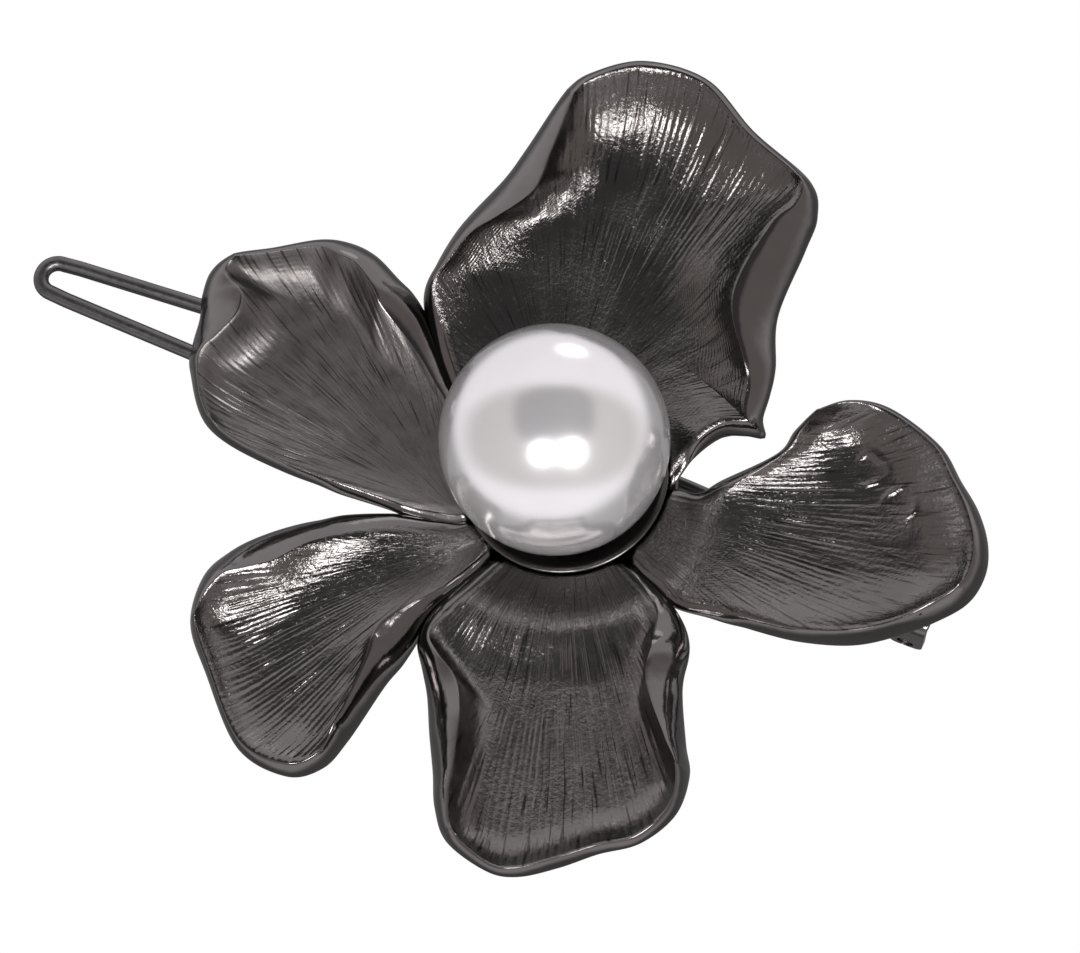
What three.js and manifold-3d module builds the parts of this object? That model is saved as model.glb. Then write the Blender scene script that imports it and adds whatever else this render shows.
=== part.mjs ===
// Flower hair clip: five cast petals on a round base, a pearl in a dished cup, and a
// sprung wire loop that hinges in a two-eared bracket and snaps over a ball-headed catch.
//
// Millimetres, +Z up out of the flower's face. The origin is on the clip's midline, level
// with the flat underside of the flower base. +X runs along the wire loop to its hinge.
import * as THREE from "three";
import { mergeVertices } from "three/addons/utils/BufferGeometryUtils.js";
import Module from "manifold-3d";

const wasm = await Module();
wasm.setup();

// ---- driving dimensions -------------------------------------------------------------

const PEARL_RADIUS = 8;
const WIRE_RADIUS = 0.54;

// The flower is turned and offset from the clip's midline.
const FLOWER_TURN = THREE.MathUtils.degToRad(21);
const FLOWER_OFFSET = -1.9;

const BASE = { radius: 7.6, top: 1, chamfer: 0.2, seat: 5 };
const SOLDER_GAP = 0.05;
const PART_BOTTOM = BASE.top + SOLDER_GAP;

// The cup is a flat foot, a flank, a rolled rim and a shallow dish down to its floor.
const CUP = {
  foot: 4.6,
  flank: [7.1, 2.8],
  rim: [[7.2, 2.95], [7, 3.15], [6.7, 3.05]],
  dish: [5.4, 2.1],
  floorRadius: 4.2,
  floor: 1.8,
};
const POST = { radius: 0.7, bottom: CUP.floor + SOLDER_GAP, top: 6.4, chamfer: 0.3 };
const PEARL = { centre: 9.9, drill: 0.8, drillTop: 6.6 };

// A petal's sheet: thin at the root under the cup, thickest where it is soldered.
const ROOT = { radius: 5.6, top: 1.55, underside: PART_BOTTOM };
const COLLAR = { radius: 7.4, top: 2.85, solderRadius: 7.9, thinRadius: 12 };
const SHEET = 1.1;
const FLOOR_RADIUS = 28;
const LIP = 0.7;
const LIP_SHARE = 0.6;
const UNDER_INSET = 0.9;
const INSET_SHARE = 0.3;
const WALL_START = 7.4;
const WALL_FULL = 9.5;
const WALL_POWER = 3;
const WALL_BLEND = 4;
const SWELL = { radius: 11.6, width: 1.7 };
const COLLAR_BULGE = 0.05;

const RIM_STEPS = 8;
const COLUMNS = 14;
const ROWS = 12;
const LOOKUP_DETAIL = 3;

// The catch and the hinge, both under the flower, on the clip's midline.
const CATCH = {
  x: -20, ball: 1.6, ballZ: -1.55, neck: 0.8, flare: 0.4, foot: 1.7, footTop: 1.95, footHeight: 0.6,
};
const CATCH_PAD = { radius: 2.1, bottom: CATCH.footTop + SOLDER_GAP };
const HINGE = { x: 26, z: -0.6, hole: 0.6 };
const EAR = { inner: 3, thickness: 0.6, bottom: 0.65, corner: 0.5, halfBottom: 1.15, halfTop: 1.8 };
const BRACKET = { top: 2.55, plate: 0.6, lap: 0.1 };
const HINGE_PAD = { halfLength: 1.7, halfWidth: 3.6, bottom: BRACKET.top + SOLDER_GAP };
const PAD_DEPTH = 0.55;
const PAD_STEPS = 8;
const PAD_RINGS = 3;

// The wire loop: legs spread from the round tip, run flat to the catch and dip to a bend.
const LOOP = {
  tipX: -41.4,
  tipHalf: 1.15,
  archX: -24,
  archFall: 0.0031,
  kneeX: 20,
  kneeBend: 1.8,
  endBend: 0.65,
  endY: EAR.inner + EAR.thickness - 0.15,
};
const LEG_WIDTHS = [
  [LOOP.tipX, LOOP.tipHalf],
  [-29, 1.75],
  [7, 2.35],
  [HINGE.x, 2.35],
];
const LEG_STEP = 4;
const BEND_STEPS = 5;
const TIP_STEPS = 8;

const SIDES = { base: 48, cup: 48, post: 20, pearl: 40, stud: 28, pad: 20, hole: 6, wire: 10 };
const PEARL_STEPS = 20;
const BALL_STEPS = 10;

const MERGE_DISTANCE = 1e-4;

const GUNMETAL = { color: 0x4a4744, metalness: 1, roughness: 0.25 };
const WIRE_STEEL = { color: 0x3c3c3e, metalness: 1, roughness: 0.3 };
const PEARL_WHITE = { color: 0xe9e4e2, metalness: 0, roughness: 0.18 };

// ---- petals -------------------------------------------------------------------------
// turn: the way the petal points, in degrees about the flower's axis.
// floor: the height of its floor at FLOOR_RADIUS. wall: how wide its inner wall is.
// swell: how far the floor bulges up in a ring just outside the collar.
// Each station of the rim is [across, along, edge height, band, rise]: the edge's place
// in the petal's own axes, how far inside it the crest runs, and how far above it.
// left and right run along the sides and tip runs across the end, all clockwise.

const PETALS = {
  petal_top: {
    turn: 66, floor: 4.3, wall: 9, swell: 0,
    left: [
      [5.5, 0.1, 1.35, 0.4, 0.2], [8, 1.1, 2.2, 0.5, 0.6], [10.5, 3.1, 2.7, 0.6, 0.8],
      [12.8, 5.4, 3, 0.7, 1], [15, 8, 3.2, 0.8, 2.2], [15.2, 10.5, 3.4, 1.3, 2.7],
      [15, 13, 3.6, 1.8, 3], [14.5, 15, 3.8, 2.6, 3.4], [13.5, 18, 4.2, 3.2, 3.2],
      [13, 20.5, 4.6, 2.5, 2.9],
    ],
    tip: [
      [12, 25, 6, 1.3, 1.8], [10.5, 27, 6.8, 0.8, 1.2], [7.5, 29, 7.1, 0.6, 0.9],
      [3, 29.5, 6.9, 0.5, 0.9], [-1.5, 27.5, 6.3, 0.5, 0.9], [-6.5, 26, 5.4, 0.7, 1.6],
    ],
    right: [
      [-8, 24, 4.8, 1.4, 2.4], [-8.2, 21.5, 4.2, 2.3, 3.2], [-8.5, 16.5, 3.8, 2.9, 3.2],
      [-10, 13, 3.6, 2.1, 2.6], [-10.5, 11, 3.4, 1.4, 2], [-10.8, 9.3, 3.3, 1.1, 1.8],
      [-11.5, 8.2, 3.1, 0.9, 1.7], [-10.2, 7.8, 3, 0.7, 1.6], [-8.7, 7, 3, 0.5, 1.6],
      [-7.5, 5, 2.6, 0.5, 1.2], [-6.9, 2.7, 2.2, 0.5, 0.6], [-5.4, 1.9, 1.35, 0.4, 0.2],
    ],
  },
  petal_upper_left: {
    turn: 160, floor: 4, wall: 4.5, swell: 0,
    left: [
      [4, 4, 1.35, 0.4, 0.2], [5.3, 5.8, 2.2, 0.4, 0.6], [6, 8, 2.6, 0.4, 0.7],
      [6.3, 9.7, 2.8, 0.4, 0.8], [6.3, 11, 2.9, 0.4, 0.8], [6.5, 18.5, 3.3, 0.4, 1.2],
    ],
    tip: [
      [5.5, 24.5, 3.8, 0.4, 1.4], [2, 27.5, 3.8, 0.8, 2.2], [0, 28.2, 3.6, 2.1, 3],
      [-2, 28.5, 3.6, 3.2, 3.2], [-3.7, 29, 3.7, 3, 3], [-5.5, 29, 4, 1.6, 2.2],
      [-7, 27.8, 4.6, 0.8, 1.4],
    ],
    right: [
      [-8.3, 25.3, 4.9, 0.7, 1.2], [-10, 22.5, 4.8, 1, 1.4], [-10.6, 20.5, 4.4, 1.7, 2.2],
      [-10.4, 18.5, 4.2, 1.8, 2.4], [-9.5, 16.5, 3.8, 2.1, 2.6], [-8.5, 14.6, 3.4, 2.6, 2.4],
      [-5.7, 12.2, 2.8, 1.3, 1.4], [-3.4, 10.2, 2.6, 0.7, 0.9], [-1.3, 7.7, 2.2, 0.5, 0.6],
      [-0.2, 5.6, 1.35, 0.4, 0.2],
    ],
  },
  petal_lower_left: {
    turn: 209, floor: 4.2, wall: 6, swell: 0,
    left: [
      [1.8, 5.3, 1.35, 0.2, 0.2], [2.8, 8, 2.2, 0.3, 0.6], [3.7, 10.8, 2.5, 0.5, 0.9],
      [4.4, 12.6, 2.6, 1, 1.6], [5.8, 14.5, 2.8, 2.2, 2.4], [7, 16, 3, 2.3, 2.8],
      [8, 18, 3.2, 1.5, 2.6],
    ],
    tip: [
      [10.5, 22, 3.6, 0.9, 2.2], [11.6, 24.5, 4, 0.6, 1.8], [11, 27, 4.4, 0.6, 1.4],
      [7.5, 29, 4.4, 0.35, 1.2], [1.5, 28.5, 4.4, 0.35, 1.4], [-2.4, 27.8, 4.2, 0.6, 2],
    ],
    right: [
      [-5.2, 25.5, 3.8, 1.8, 3], [-6, 23, 3.8, 2.6, 2.8], [-6, 20.5, 3.8, 2.9, 2.4],
      [-5.5, 17.5, 3.6, 2.2, 2], [-4.5, 14.6, 3.4, 1.6, 1.4], [-3.4, 12.1, 3, 1.1, 1],
      [-2.8, 11.1, 2.8, 0.9, 0.9], [-1.7, 9.7, 2.6, 0.7, 0.7], [-0.7, 8, 2.2, 0.4, 0.5],
      [-0.2, 5.6, 1.35, 0.2, 0.2],
    ],
  },
  petal_bottom: {
    turn: 272, floor: 4.4, wall: 4, swell: 0.8,
    left: [
      [3, 4.7, 1.35, 0.4, 0.2], [4.4, 6.5, 2.2, 0.5, 0.6], [6.2, 8.6, 2.8, 0.7, 0.8],
      [7.5, 10.1, 3, 1.2, 1.4], [8.4, 12, 3.2, 2.2, 2], [8.6, 14, 3.4, 2.3, 2.6],
      [8.3, 16.5, 3.6, 2.3, 2.8], [8.6, 20.5, 4, 1.3, 2.6],
    ],
    tip: [
      [8.9, 23, 4.4, 0.8, 2.2], [8, 26, 4.9, 0.5, 1.4], [5.6, 28.1, 5.2, 0.4, 1],
      [2.7, 28.8, 5.2, 0.4, 1.1], [0, 29.7, 5.2, 0.4, 1.3], [-2.8, 30.3, 5.3, 0.4, 1.1],
      [-5, 29.8, 5.3, 0.4, 1], [-7.8, 27.4, 4.8, 0.7, 1.5],
    ],
    right: [
      [-8.7, 24.7, 4.4, 1.2, 2.2], [-8.9, 22, 4, 1.8, 2.8], [-9.2, 19, 3.8, 2.4, 3],
      [-9.4, 16.2, 3.6, 2.3, 2.6], [-9.8, 14, 3.4, 1.4, 2.2], [-10, 11.9, 3.2, 0.8, 1.6],
      [-9.2, 10, 3, 0.7, 1.2], [-7.5, 8.1, 2.6, 0.8, 0.8], [-5.6, 6.3, 2.2, 0.6, 0.6],
      [-3.7, 4.2, 1.35, 0.4, 0.2],
    ],
  },
  petal_right: {
    turn: 350, floor: 4.4, wall: 7, swell: 0.3,
    left: [
      [0.3, 5.6, 1.35, 0.4, 0.2], [0.7, 7.5, 2.2, 0.6, 0.6], [0.5, 9.4, 2.8, 0.8, 0.7],
      [1.6, 10.8, 3, 1, 1.3], [3.9, 14.3, 3.7, 0.8, 1.7], [5.6, 15.2, 4, 0.9, 2.1],
    ],
    tip: [
      [7, 16.5, 4.4, 0.8, 2.3], [8.1, 18.7, 5, 0.6, 1.8], [8, 21.6, 5.3, 0.5, 1.1],
      [6, 25.5, 5, 0.5, 1.4], [3.7, 27.5, 4.8, 0.6, 1.8], [1.8, 29.1, 4.6, 0.8, 2],
      [-0.4, 30.2, 4.5, 0.9, 2.1], [-2.6, 30.5, 4.4, 0.9, 2.2], [-4.8, 29.8, 4.4, 0.8, 2],
    ],
    right: [
      [-6.4, 28, 4.2, 0.8, 2], [-8, 25.3, 4, 0.5, 2], [-9.1, 22.4, 3.8, 0.5, 2],
      [-9.4, 18.8, 3.6, 0.5, 1.6], [-9, 15.5, 3.2, 0.5, 1.4], [-8.4, 12.3, 3, 0.5, 1],
      [-8, 9.6, 2.8, 0.4, 0.7], [-6.8, 7.9, 2.5, 0.4, 0.6], [-5.5, 6.2, 2.2, 0.4, 0.6],
      [-3.9, 4.1, 1.35, 0.4, 0.2],
    ],
  },
};

// ---- small helpers ------------------------------------------------------------------

const lerp = THREE.MathUtils.lerp;
const mix = (a, b, t) => a.map((value, k) => lerp(value, b[k], t));
const distance = (a, b) => Math.hypot(a[0] - b[0], a[1] - b[1]);
const smoothstep = THREE.MathUtils.smoothstep;

function meshData(geometry) {
  const bare = geometry.clone();
  bare.deleteAttribute("normal");
  bare.deleteAttribute("uv");
  return mergeVertices(bare, MERGE_DISTANCE);
}

function toSolid(geometry) {
  const merged = meshData(geometry);
  return new wasm.Manifold(new wasm.Mesh({
    numProp: 3,
    vertProperties: merged.attributes.position.array,
    triVerts: new Uint32Array(merged.index.array),
  }));
}

function toGeometry(solid) {
  const mesh = solid.getMesh();
  return indexedGeometry(mesh.vertProperties, mesh.triVerts);
}

function indexedGeometry(positions, triangles) {
  const geometry = new THREE.BufferGeometry();
  geometry.setAttribute("position", new THREE.BufferAttribute(new Float32Array(positions), 3));
  geometry.setIndex(new THREE.BufferAttribute(new Uint32Array(triangles), 1));
  geometry.computeVertexNormals();
  return geometry;
}

// A solid of revolution about Z from (radius, height) points.
function lathe(profile, segments) {
  const points = profile.map(([radius, height]) => new THREE.Vector2(radius, height));
  const geometry = new THREE.LatheGeometry(points, segments);
  geometry.rotateX(Math.PI / 2);
  return geometry;
}

function arcPoints(radius, centre, from, to, steps) {
  return Array.from({ length: steps + 1 }, (_, k) => {
    const angle = THREE.MathUtils.degToRad(lerp(from, to, k / steps));
    return [radius * Math.cos(angle), centre + radius * Math.sin(angle)];
  });
}

// ---- petal surface ------------------------------------------------------------------

// A Catmull-Rom curve through the stations, which keeps all five numbers smooth.
function smoothChain(stations) {
  const first = stations[0].map((v, k) => 2 * v - stations[1][k]);
  const end = stations.at(-1).map((v, k) => 2 * v - stations.at(-2)[k]);
  const p = [first, ...stations, end];
  const dense = [];
  for (let i = 1; i < p.length - 2; i += 1) {
    for (let k = 0; k < RIM_STEPS; k += 1) {
      const u = k / RIM_STEPS;
      dense.push(p[i].map((b, n) => {
        const [a, c, d] = [p[i - 1][n], p[i + 1][n], p[i + 2][n]];
        const square = 2 * a - 5 * b + 4 * c - d;
        return 0.5 * (2 * b + (c - a) * u + square * u * u + (3 * b - a - 3 * c + d) * u ** 3);
      }));
    }
  }
  dense.push(stations.at(-1));
  return dense;
}

// The direction into the petal at each rim point, averaged over its neighbours.
function inwardNormals(points) {
  const tangents = points.map((_, i) => {
    const before = points[Math.max(i - 1, 0)];
    const after = points[Math.min(i + 1, points.length - 1)];
    const length = distance(before, after);
    return [(after[0] - before[0]) / length, (after[1] - before[1]) / length];
  });
  return tangents.map((_, i) => {
    const sum = [0, 0];
    for (let k = -RIM_STEPS; k <= RIM_STEPS; k += 1) {
      const tangent = tangents[THREE.MathUtils.clamp(i + k, 0, tangents.length - 1)];
      const weight = 1 + Math.cos((Math.PI * k) / (RIM_STEPS + 1));
      sum[0] += weight * tangent[0];
      sum[1] += weight * tangent[1];
    }
    const length = Math.hypot(...sum);
    return [sum[1] / length, -sum[0] / length];
  });
}

// The dense rim in flower axes: edge x, y, edge height, crest x, y, crest height.
function petalRim(petal) {
  const turn = THREE.MathUtils.degToRad(petal.turn);
  const [cos, sin] = [Math.cos(turn), Math.sin(turn)];
  const dense = smoothChain([...petal.left, ...petal.tip, ...petal.right]);
  const edge = dense.map(([across, along]) => [along * cos - across * sin, along * sin + across * cos]);
  const inward = inwardNormals(edge);
  return dense.map(([, , height, band, rise], i) => [
    ...edge[i], height,
    edge[i][0] + band * inward[i][0], edge[i][1] + band * inward[i][1], height + rise,
  ]);
}

// The same stretch of rim as count + 1 points at even distances.
function evenly(rim, count) {
  const lengths = [0];
  for (let i = 1; i < rim.length; i += 1) lengths.push(lengths[i - 1] + distance(rim[i - 1], rim[i]));
  let at = 1;
  return Array.from({ length: count + 1 }, (_, k) => {
    const target = (lengths.at(-1) * k) / count;
    while (at < rim.length - 1 && lengths[at] < target) at += 1;
    return mix(rim[at - 1], rim[at], (target - lengths[at - 1]) / (lengths[at] - lengths[at - 1]));
  });
}

function floorHeight(petal, radius) {
  if (radius < COLLAR.radius) {
    return lerp(ROOT.top, COLLAR.top, (radius - ROOT.radius) / (COLLAR.radius - ROOT.radius));
  }
  const outward = (radius - COLLAR.radius) / (FLOOR_RADIUS - COLLAR.radius);
  const off = (radius - SWELL.radius) / SWELL.width;
  const bulge = petal.swell * (Math.exp((-off * off) / 2) - COLLAR_BULGE);
  return lerp(COLLAR.top, petal.floor, outward) + Math.max(0, bulge);
}

function sheetThickness(petal, radius) {
  const soldered = floorHeight(petal, Math.min(radius, COLLAR.solderRadius)) - ROOT.underside;
  const outward = (radius - COLLAR.solderRadius) / (COLLAR.thinRadius - COLLAR.solderRadius);
  return lerp(soldered, SHEET, THREE.MathUtils.clamp(outward, 0, 1));
}

// A patch stretched between the two sides, the tip and the root, as functions of
// (s, t): s from left to right and t from root to tip.
function petalPatch(petal) {
  const rim = petalRim(petal);
  const leftEnd = petal.left.length * RIM_STEPS;
  const rightStart = (petal.left.length + petal.tip.length - 1) * RIM_STEPS;
  const sides = {
    left: evenly(rim.slice(0, leftEnd + 1), ROWS),
    tip: evenly(rim.slice(leftEnd, rightStart + 1), COLUMNS),
    right: evenly(rim.slice(rightStart), ROWS).reverse(),
  };
  const sample = (side, u) => {
    const place = THREE.MathUtils.clamp(u, 0, 1) * (side.length - 1);
    const i = Math.min(Math.floor(place), side.length - 2);
    return mix(side[i], side[i + 1], place - i);
  };
  const crest = (side, u) => sample(side, u).slice(3, 5);
  const [start, end] = [crest(sides.left, 0), crest(sides.right, 0)];
  const angles = [start, end].map(([x, y]) => Math.atan2(y, x));
  if (angles[1] > angles[0]) angles[1] -= 2 * Math.PI;
  const rootPoint = (s) => {
    const angle = lerp(angles[0], angles[1], s);
    const radius = lerp(Math.hypot(...start), Math.hypot(...end), s);
    return [radius * Math.cos(angle), radius * Math.sin(angle)];
  };
  const corners = [start, end, crest(sides.left, 1), crest(sides.right, 1)];
  const point = (s, t) => [0, 1].map((k) => {
    const across = lerp(crest(sides.left, t)[k], crest(sides.right, t)[k], s);
    const along = lerp(rootPoint(s)[k], crest(sides.tip, s)[k], t);
    const [rootLeft, rootRight, tipLeft, tipRight] = corners.map((corner) => corner[k]);
    const bilinear = lerp(lerp(rootLeft, rootRight, s), lerp(tipLeft, tipRight, s), t);
    return across + along - bilinear;
  });
  const rise = (side, u) => {
    const station = sample(side, u);
    const radius = Math.hypot(station[3], station[4]);
    const full = smoothstep(radius, WALL_START, WALL_FULL);
    return full * Math.max(0, station[5] - floorHeight(petal, radius));
  };
  const height = (s, t) => {
    const here = point(s, t);
    const walls = [
      [rise(sides.left, t), point(0, t)],
      [rise(sides.right, t), point(1, t)],
      [rise(sides.tip, s), point(s, 1)],
    ];
    const sum = walls.reduce((total, [up, foot]) => {
      const near = Math.max(0, 1 - distance(here, foot) / petal.wall);
      return total + (up * near ** WALL_POWER) ** WALL_BLEND;
    }, 0);
    return floorHeight(petal, Math.hypot(...here)) + sum ** (1 / WALL_BLEND);
  };
  return { sides, sample, point, height };
}

// ---- petal solid --------------------------------------------------------------------

// The rim in order: out along the left side, across the tip and back down the right.
function rimOrder() {
  const order = [];
  for (let i = 0; i <= ROWS; i += 1) order.push({ i, j: 0, side: "left", u: i / ROWS });
  for (let j = 1; j < COLUMNS; j += 1) order.push({ i: ROWS, j, side: "tip", u: j / COLUMNS });
  for (let i = ROWS; i >= 0; i -= 1) order.push({ i, j: COLUMNS, side: "right", u: i / ROWS });
  return order;
}

function petalGeometry(petal, patch) {
  const positions = [];
  const triangles = [];
  const add = (x, y, z) => positions.push(x, y, z) / 3 - 1;
  const at = (vertex) => positions.slice(3 * vertex, 3 * vertex + 3);
  const quad = (a, b, c, d) => triangles.push(a, b, c, a, c, d);

  const top = [];
  const under = [];
  for (let i = 0; i <= ROWS; i += 1) {
    const t = i / ROWS;
    const width = distance(patch.point(0, t), patch.point(1, t));
    const side = Math.min(INSET_SHARE, UNDER_INSET / width);
    top.push([]);
    under.push([]);
    for (let j = 0; j <= COLUMNS; j += 1) {
      const s = j / COLUMNS;
      const reach = 1 - UNDER_INSET / distance(patch.point(s, 0), patch.point(s, 1));
      const [su, tu] = [lerp(side, 1 - side, s), t * reach];
      const hollow = patch.point(su, tu);
      const thickness = sheetThickness(petal, Math.hypot(...hollow));
      top[i].push(add(...patch.point(s, t), patch.height(s, t)));
      under[i].push(add(...hollow, patch.height(su, tu) - thickness));
    }
  }
  for (let i = 0; i < ROWS; i += 1) {
    for (let j = 0; j < COLUMNS; j += 1) {
      quad(top[i][j], top[i][j + 1], top[i + 1][j + 1], top[i + 1][j]);
      quad(under[i][j], under[i + 1][j], under[i + 1][j + 1], under[i][j + 1]);
    }
  }

  // From the crest a quarter-round band falls to the edge, and a lip turns under it.
  const rings = rimOrder().map(({ i, j, side, u }) => {
    const [edgeX, edgeY, edgeZ] = patch.sample(patch.sides[side], u);
    const crest = at(top[i][j]);
    const inner = at(under[i][j]);
    const half = Math.SQRT1_2;
    const shoulder = [
      lerp(crest[0], edgeX, half), lerp(crest[1], edgeY, half), lerp(edgeZ, crest[2], half),
    ];
    const lip = Math.min(LIP_SHARE, LIP / distance(inner, [edgeX, edgeY]));
    return [
      top[i][j],
      add(...shoulder),
      add(edgeX, edgeY, edgeZ),
      add(lerp(edgeX, inner[0], lip), lerp(edgeY, inner[1], lip), edgeZ),
      under[i][j],
    ];
  });
  for (let m = 0; m < rings.length - 1; m += 1) {
    for (let k = 0; k < 4; k += 1) {
      quad(rings[m][k], rings[m + 1][k], rings[m + 1][k + 1], rings[m][k + 1]);
    }
  }

  // The root's end closes the sheet.
  for (let j = 0; j < COLUMNS; j += 1) quad(top[0][j], under[0][j], under[0][j + 1], top[0][j + 1]);
  const [first, last] = [rings[0], rings.at(-1)];
  for (let k = 1; k < 4; k += 1) {
    triangles.push(first[0], first[k], first[k + 1]);
    triangles.push(last[0], last[k + 1], last[k]);
  }
  return indexedGeometry(positions, triangles);
}

// A function giving the height of a petal's upper face over a place in flower axes.
function heightLookup(patch) {
  const [rows, columns] = [LOOKUP_DETAIL * ROWS, LOOKUP_DETAIL * COLUMNS];
  const samples = [];
  for (let i = 0; i <= rows; i += 1) {
    for (let j = 0; j <= columns; j += 1) {
      const [s, t] = [j / columns, i / rows];
      samples.push([...patch.point(s, t), patch.height(s, t)]);
    }
  }
  return (place) => {
    const nearer = (a, b) => (distance(b, place) < distance(a, place) ? b : a);
    return samples.reduce(nearer)[2];
  };
}

// A place on the clip's own axes, in flower axes.
function toFlower(x, y) {
  const place = new THREE.Vector2(x, y - FLOWER_OFFSET);
  place.rotateAround(new THREE.Vector2(0, 0), -FLOWER_TURN);
  return [place.x, place.y];
}

// ---- cast pads under two petals -----------------------------------------------------

// A flat-bottomed pad whose upper face is buried in the petal's sheet. outline gives
// a ring of clip-axis points around the middle.
function padGeometry(patch, middle, outline, bottom) {
  const positions = [];
  const triangles = [];
  const heightAt = heightLookup(patch);
  const add = (place, z) => positions.push(...place, z) / 3 - 1;
  const quad = (a, b, c, d) => triangles.push(a, b, c, a, c, d);
  const buried = ([x, y]) => {
    const place = toFlower(x, y);
    return add(place, heightAt(place) - PAD_DEPTH);
  };
  const rings = [outline.map(([x, y]) => add(toFlower(x, y), bottom))];
  for (let k = PAD_RINGS; k > 0; k -= 1) {
    rings.push(outline.map((point) => buried(mix(middle, point, k / PAD_RINGS))));
  }
  const [foot, hub] = [add(toFlower(...middle), bottom), buried(middle)];
  outline.forEach((_, m) => {
    const next = (m + 1) % outline.length;
    for (let k = 0; k < PAD_RINGS; k += 1) {
      quad(rings[k][m], rings[k][next], rings[k + 1][next], rings[k + 1][m]);
    }
    triangles.push(foot, rings[0][next], rings[0][m]);
    triangles.push(hub, rings[PAD_RINGS][m], rings[PAD_RINGS][next]);
  });
  return indexedGeometry(positions, triangles);
}

function circleOutline(x, y, radius) {
  return Array.from({ length: SIDES.pad }, (_, k) => {
    const angle = (2 * Math.PI * k) / SIDES.pad;
    return [x + radius * Math.cos(angle), y + radius * Math.sin(angle)];
  });
}

function boxOutline(x, halfLength, halfWidth) {
  const place = (_, k) => lerp(-halfWidth, halfWidth, k / PAD_STEPS);
  const along = Array.from({ length: PAD_STEPS }, place);
  return [
    ...along.map((y) => [x + halfLength, y]),
    [x + halfLength, halfWidth],
    [x, halfWidth],
    ...along.map((y) => [x - halfLength, -y]),
    [x - halfLength, -halfWidth],
    [x, -halfWidth],
  ];
}

// ---- the other solids ---------------------------------------------------------------

function flowerBase() {
  const { radius, top, chamfer, seat } = BASE;
  return lathe([
    [0, 0], [seat, 0], [radius - chamfer, 0], [radius, chamfer], [radius, top], [0, top],
  ], SIDES.base);
}

function pearlCup() {
  const { foot, flank, rim, dish, floor, floorRadius } = CUP;
  return lathe([
    [0, PART_BOTTOM], [foot, PART_BOTTOM], flank, ...rim, dish, [floorRadius, floor], [0, floor],
  ], SIDES.cup);
}

function pearlPost() {
  const { radius, bottom, top, chamfer } = POST;
  return lathe([
    [0, bottom], [radius, bottom], [radius, top - chamfer], [radius - chamfer, top], [0, top],
  ], SIDES.post);
}

function pearlBody() {
  const { centre, drill, drillTop } = PEARL;
  const mouth = THREE.MathUtils.radToDeg(Math.asin(drill / PEARL_RADIUS)) - 90;
  const outside = arcPoints(PEARL_RADIUS, centre, mouth, 90, PEARL_STEPS);
  outside.at(-1)[0] = 0;
  return lathe([[0, drillTop], [drill, drillTop], ...outside], SIDES.pearl);
}

function catchStud() {
  const { ball, ballZ, neck, flare, foot, footTop, footHeight } = CATCH;
  const footBottom = footTop - footHeight;
  const shoulder = THREE.MathUtils.radToDeg(Math.acos(neck / ball));
  const head = arcPoints(ball, ballZ, -90, shoulder, BALL_STEPS);
  head[0][0] = 0;
  const geometry = lathe([
    ...head, [neck, footBottom - flare], [neck + flare, footBottom],
    [foot, footBottom], [foot, footTop], [0, footTop],
  ], SIDES.stud);
  geometry.translate(CATCH.x, 0, 0);
  return geometry;
}

// One ear: a rounded, tapered tab in the XZ plane with the hinge hole through it.
function earShape() {
  const { bottom, corner, halfBottom, halfTop } = EAR;
  const [low, high] = [HINGE.z - bottom, BRACKET.top];
  const outline = new THREE.Shape();
  outline.moveTo(HINGE.x - halfTop, high);
  outline.lineTo(HINGE.x - halfBottom, low + corner);
  outline.quadraticCurveTo(HINGE.x - halfBottom, low, HINGE.x - halfBottom + corner, low);
  outline.lineTo(HINGE.x + halfBottom - corner, low);
  outline.quadraticCurveTo(HINGE.x + halfBottom, low, HINGE.x + halfBottom, low + corner);
  outline.lineTo(HINGE.x + halfTop, high);
  const hole = new THREE.Path();
  hole.absarc(HINGE.x, HINGE.z, HINGE.hole, 0, 2 * Math.PI, true);
  outline.holes.push(hole);
  return outline;
}

function ear(outerY) {
  const geometry = new THREE.ExtrudeGeometry(earShape(), {
    depth: EAR.thickness, bevelEnabled: false, curveSegments: SIDES.hole,
  });
  geometry.rotateX(Math.PI / 2);
  geometry.translate(0, outerY, 0);
  return geometry;
}

function hingeBracket() {
  const outer = EAR.inner + EAR.thickness;
  const width = 2 * (EAR.inner + BRACKET.lap);
  const plate = new THREE.BoxGeometry(2 * EAR.halfTop, width, BRACKET.plate);
  plate.translate(HINGE.x, 0, BRACKET.top - BRACKET.plate / 2);
  return toGeometry(toSolid(ear(outer)).add(toSolid(ear(-EAR.inner))).add(toSolid(plate)));
}

// ---- wire loop ----------------------------------------------------------------------

function legHalfWidth(x) {
  const k = LEG_WIDTHS.findIndex(([end]) => x <= end);
  const [from, to] = [LEG_WIDTHS[Math.max(k - 1, 0)], LEG_WIDTHS[Math.max(k, 1)]];
  return lerp(from[1], to[1], (x - from[0]) / (to[0] - from[0]));
}

function legHeight(x) {
  return -LOOP.archFall * Math.max(x - LOOP.archX, 0) ** 2;
}

// Points around a bend of the given radius at the corner between two straight stretches.
function bend(before, corner, after, radius) {
  const back = before.clone().sub(corner).normalize();
  const ahead = after.clone().sub(corner).normalize();
  const half = back.angleTo(ahead) / 2;
  const middle = back.clone().add(ahead).normalize();
  const centre = corner.clone().addScaledVector(middle, radius / Math.sin(half));
  const start = corner.clone().addScaledVector(back, radius / Math.tan(half)).sub(centre);
  const axis = start.clone().cross(corner.clone().sub(centre)).normalize();
  return Array.from({ length: BEND_STEPS + 1 }, (_, k) => {
    const angle = ((Math.PI - 2 * half) * k) / BEND_STEPS;
    return start.clone().applyAxisAngle(axis, angle).add(centre);
  });
}

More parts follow.
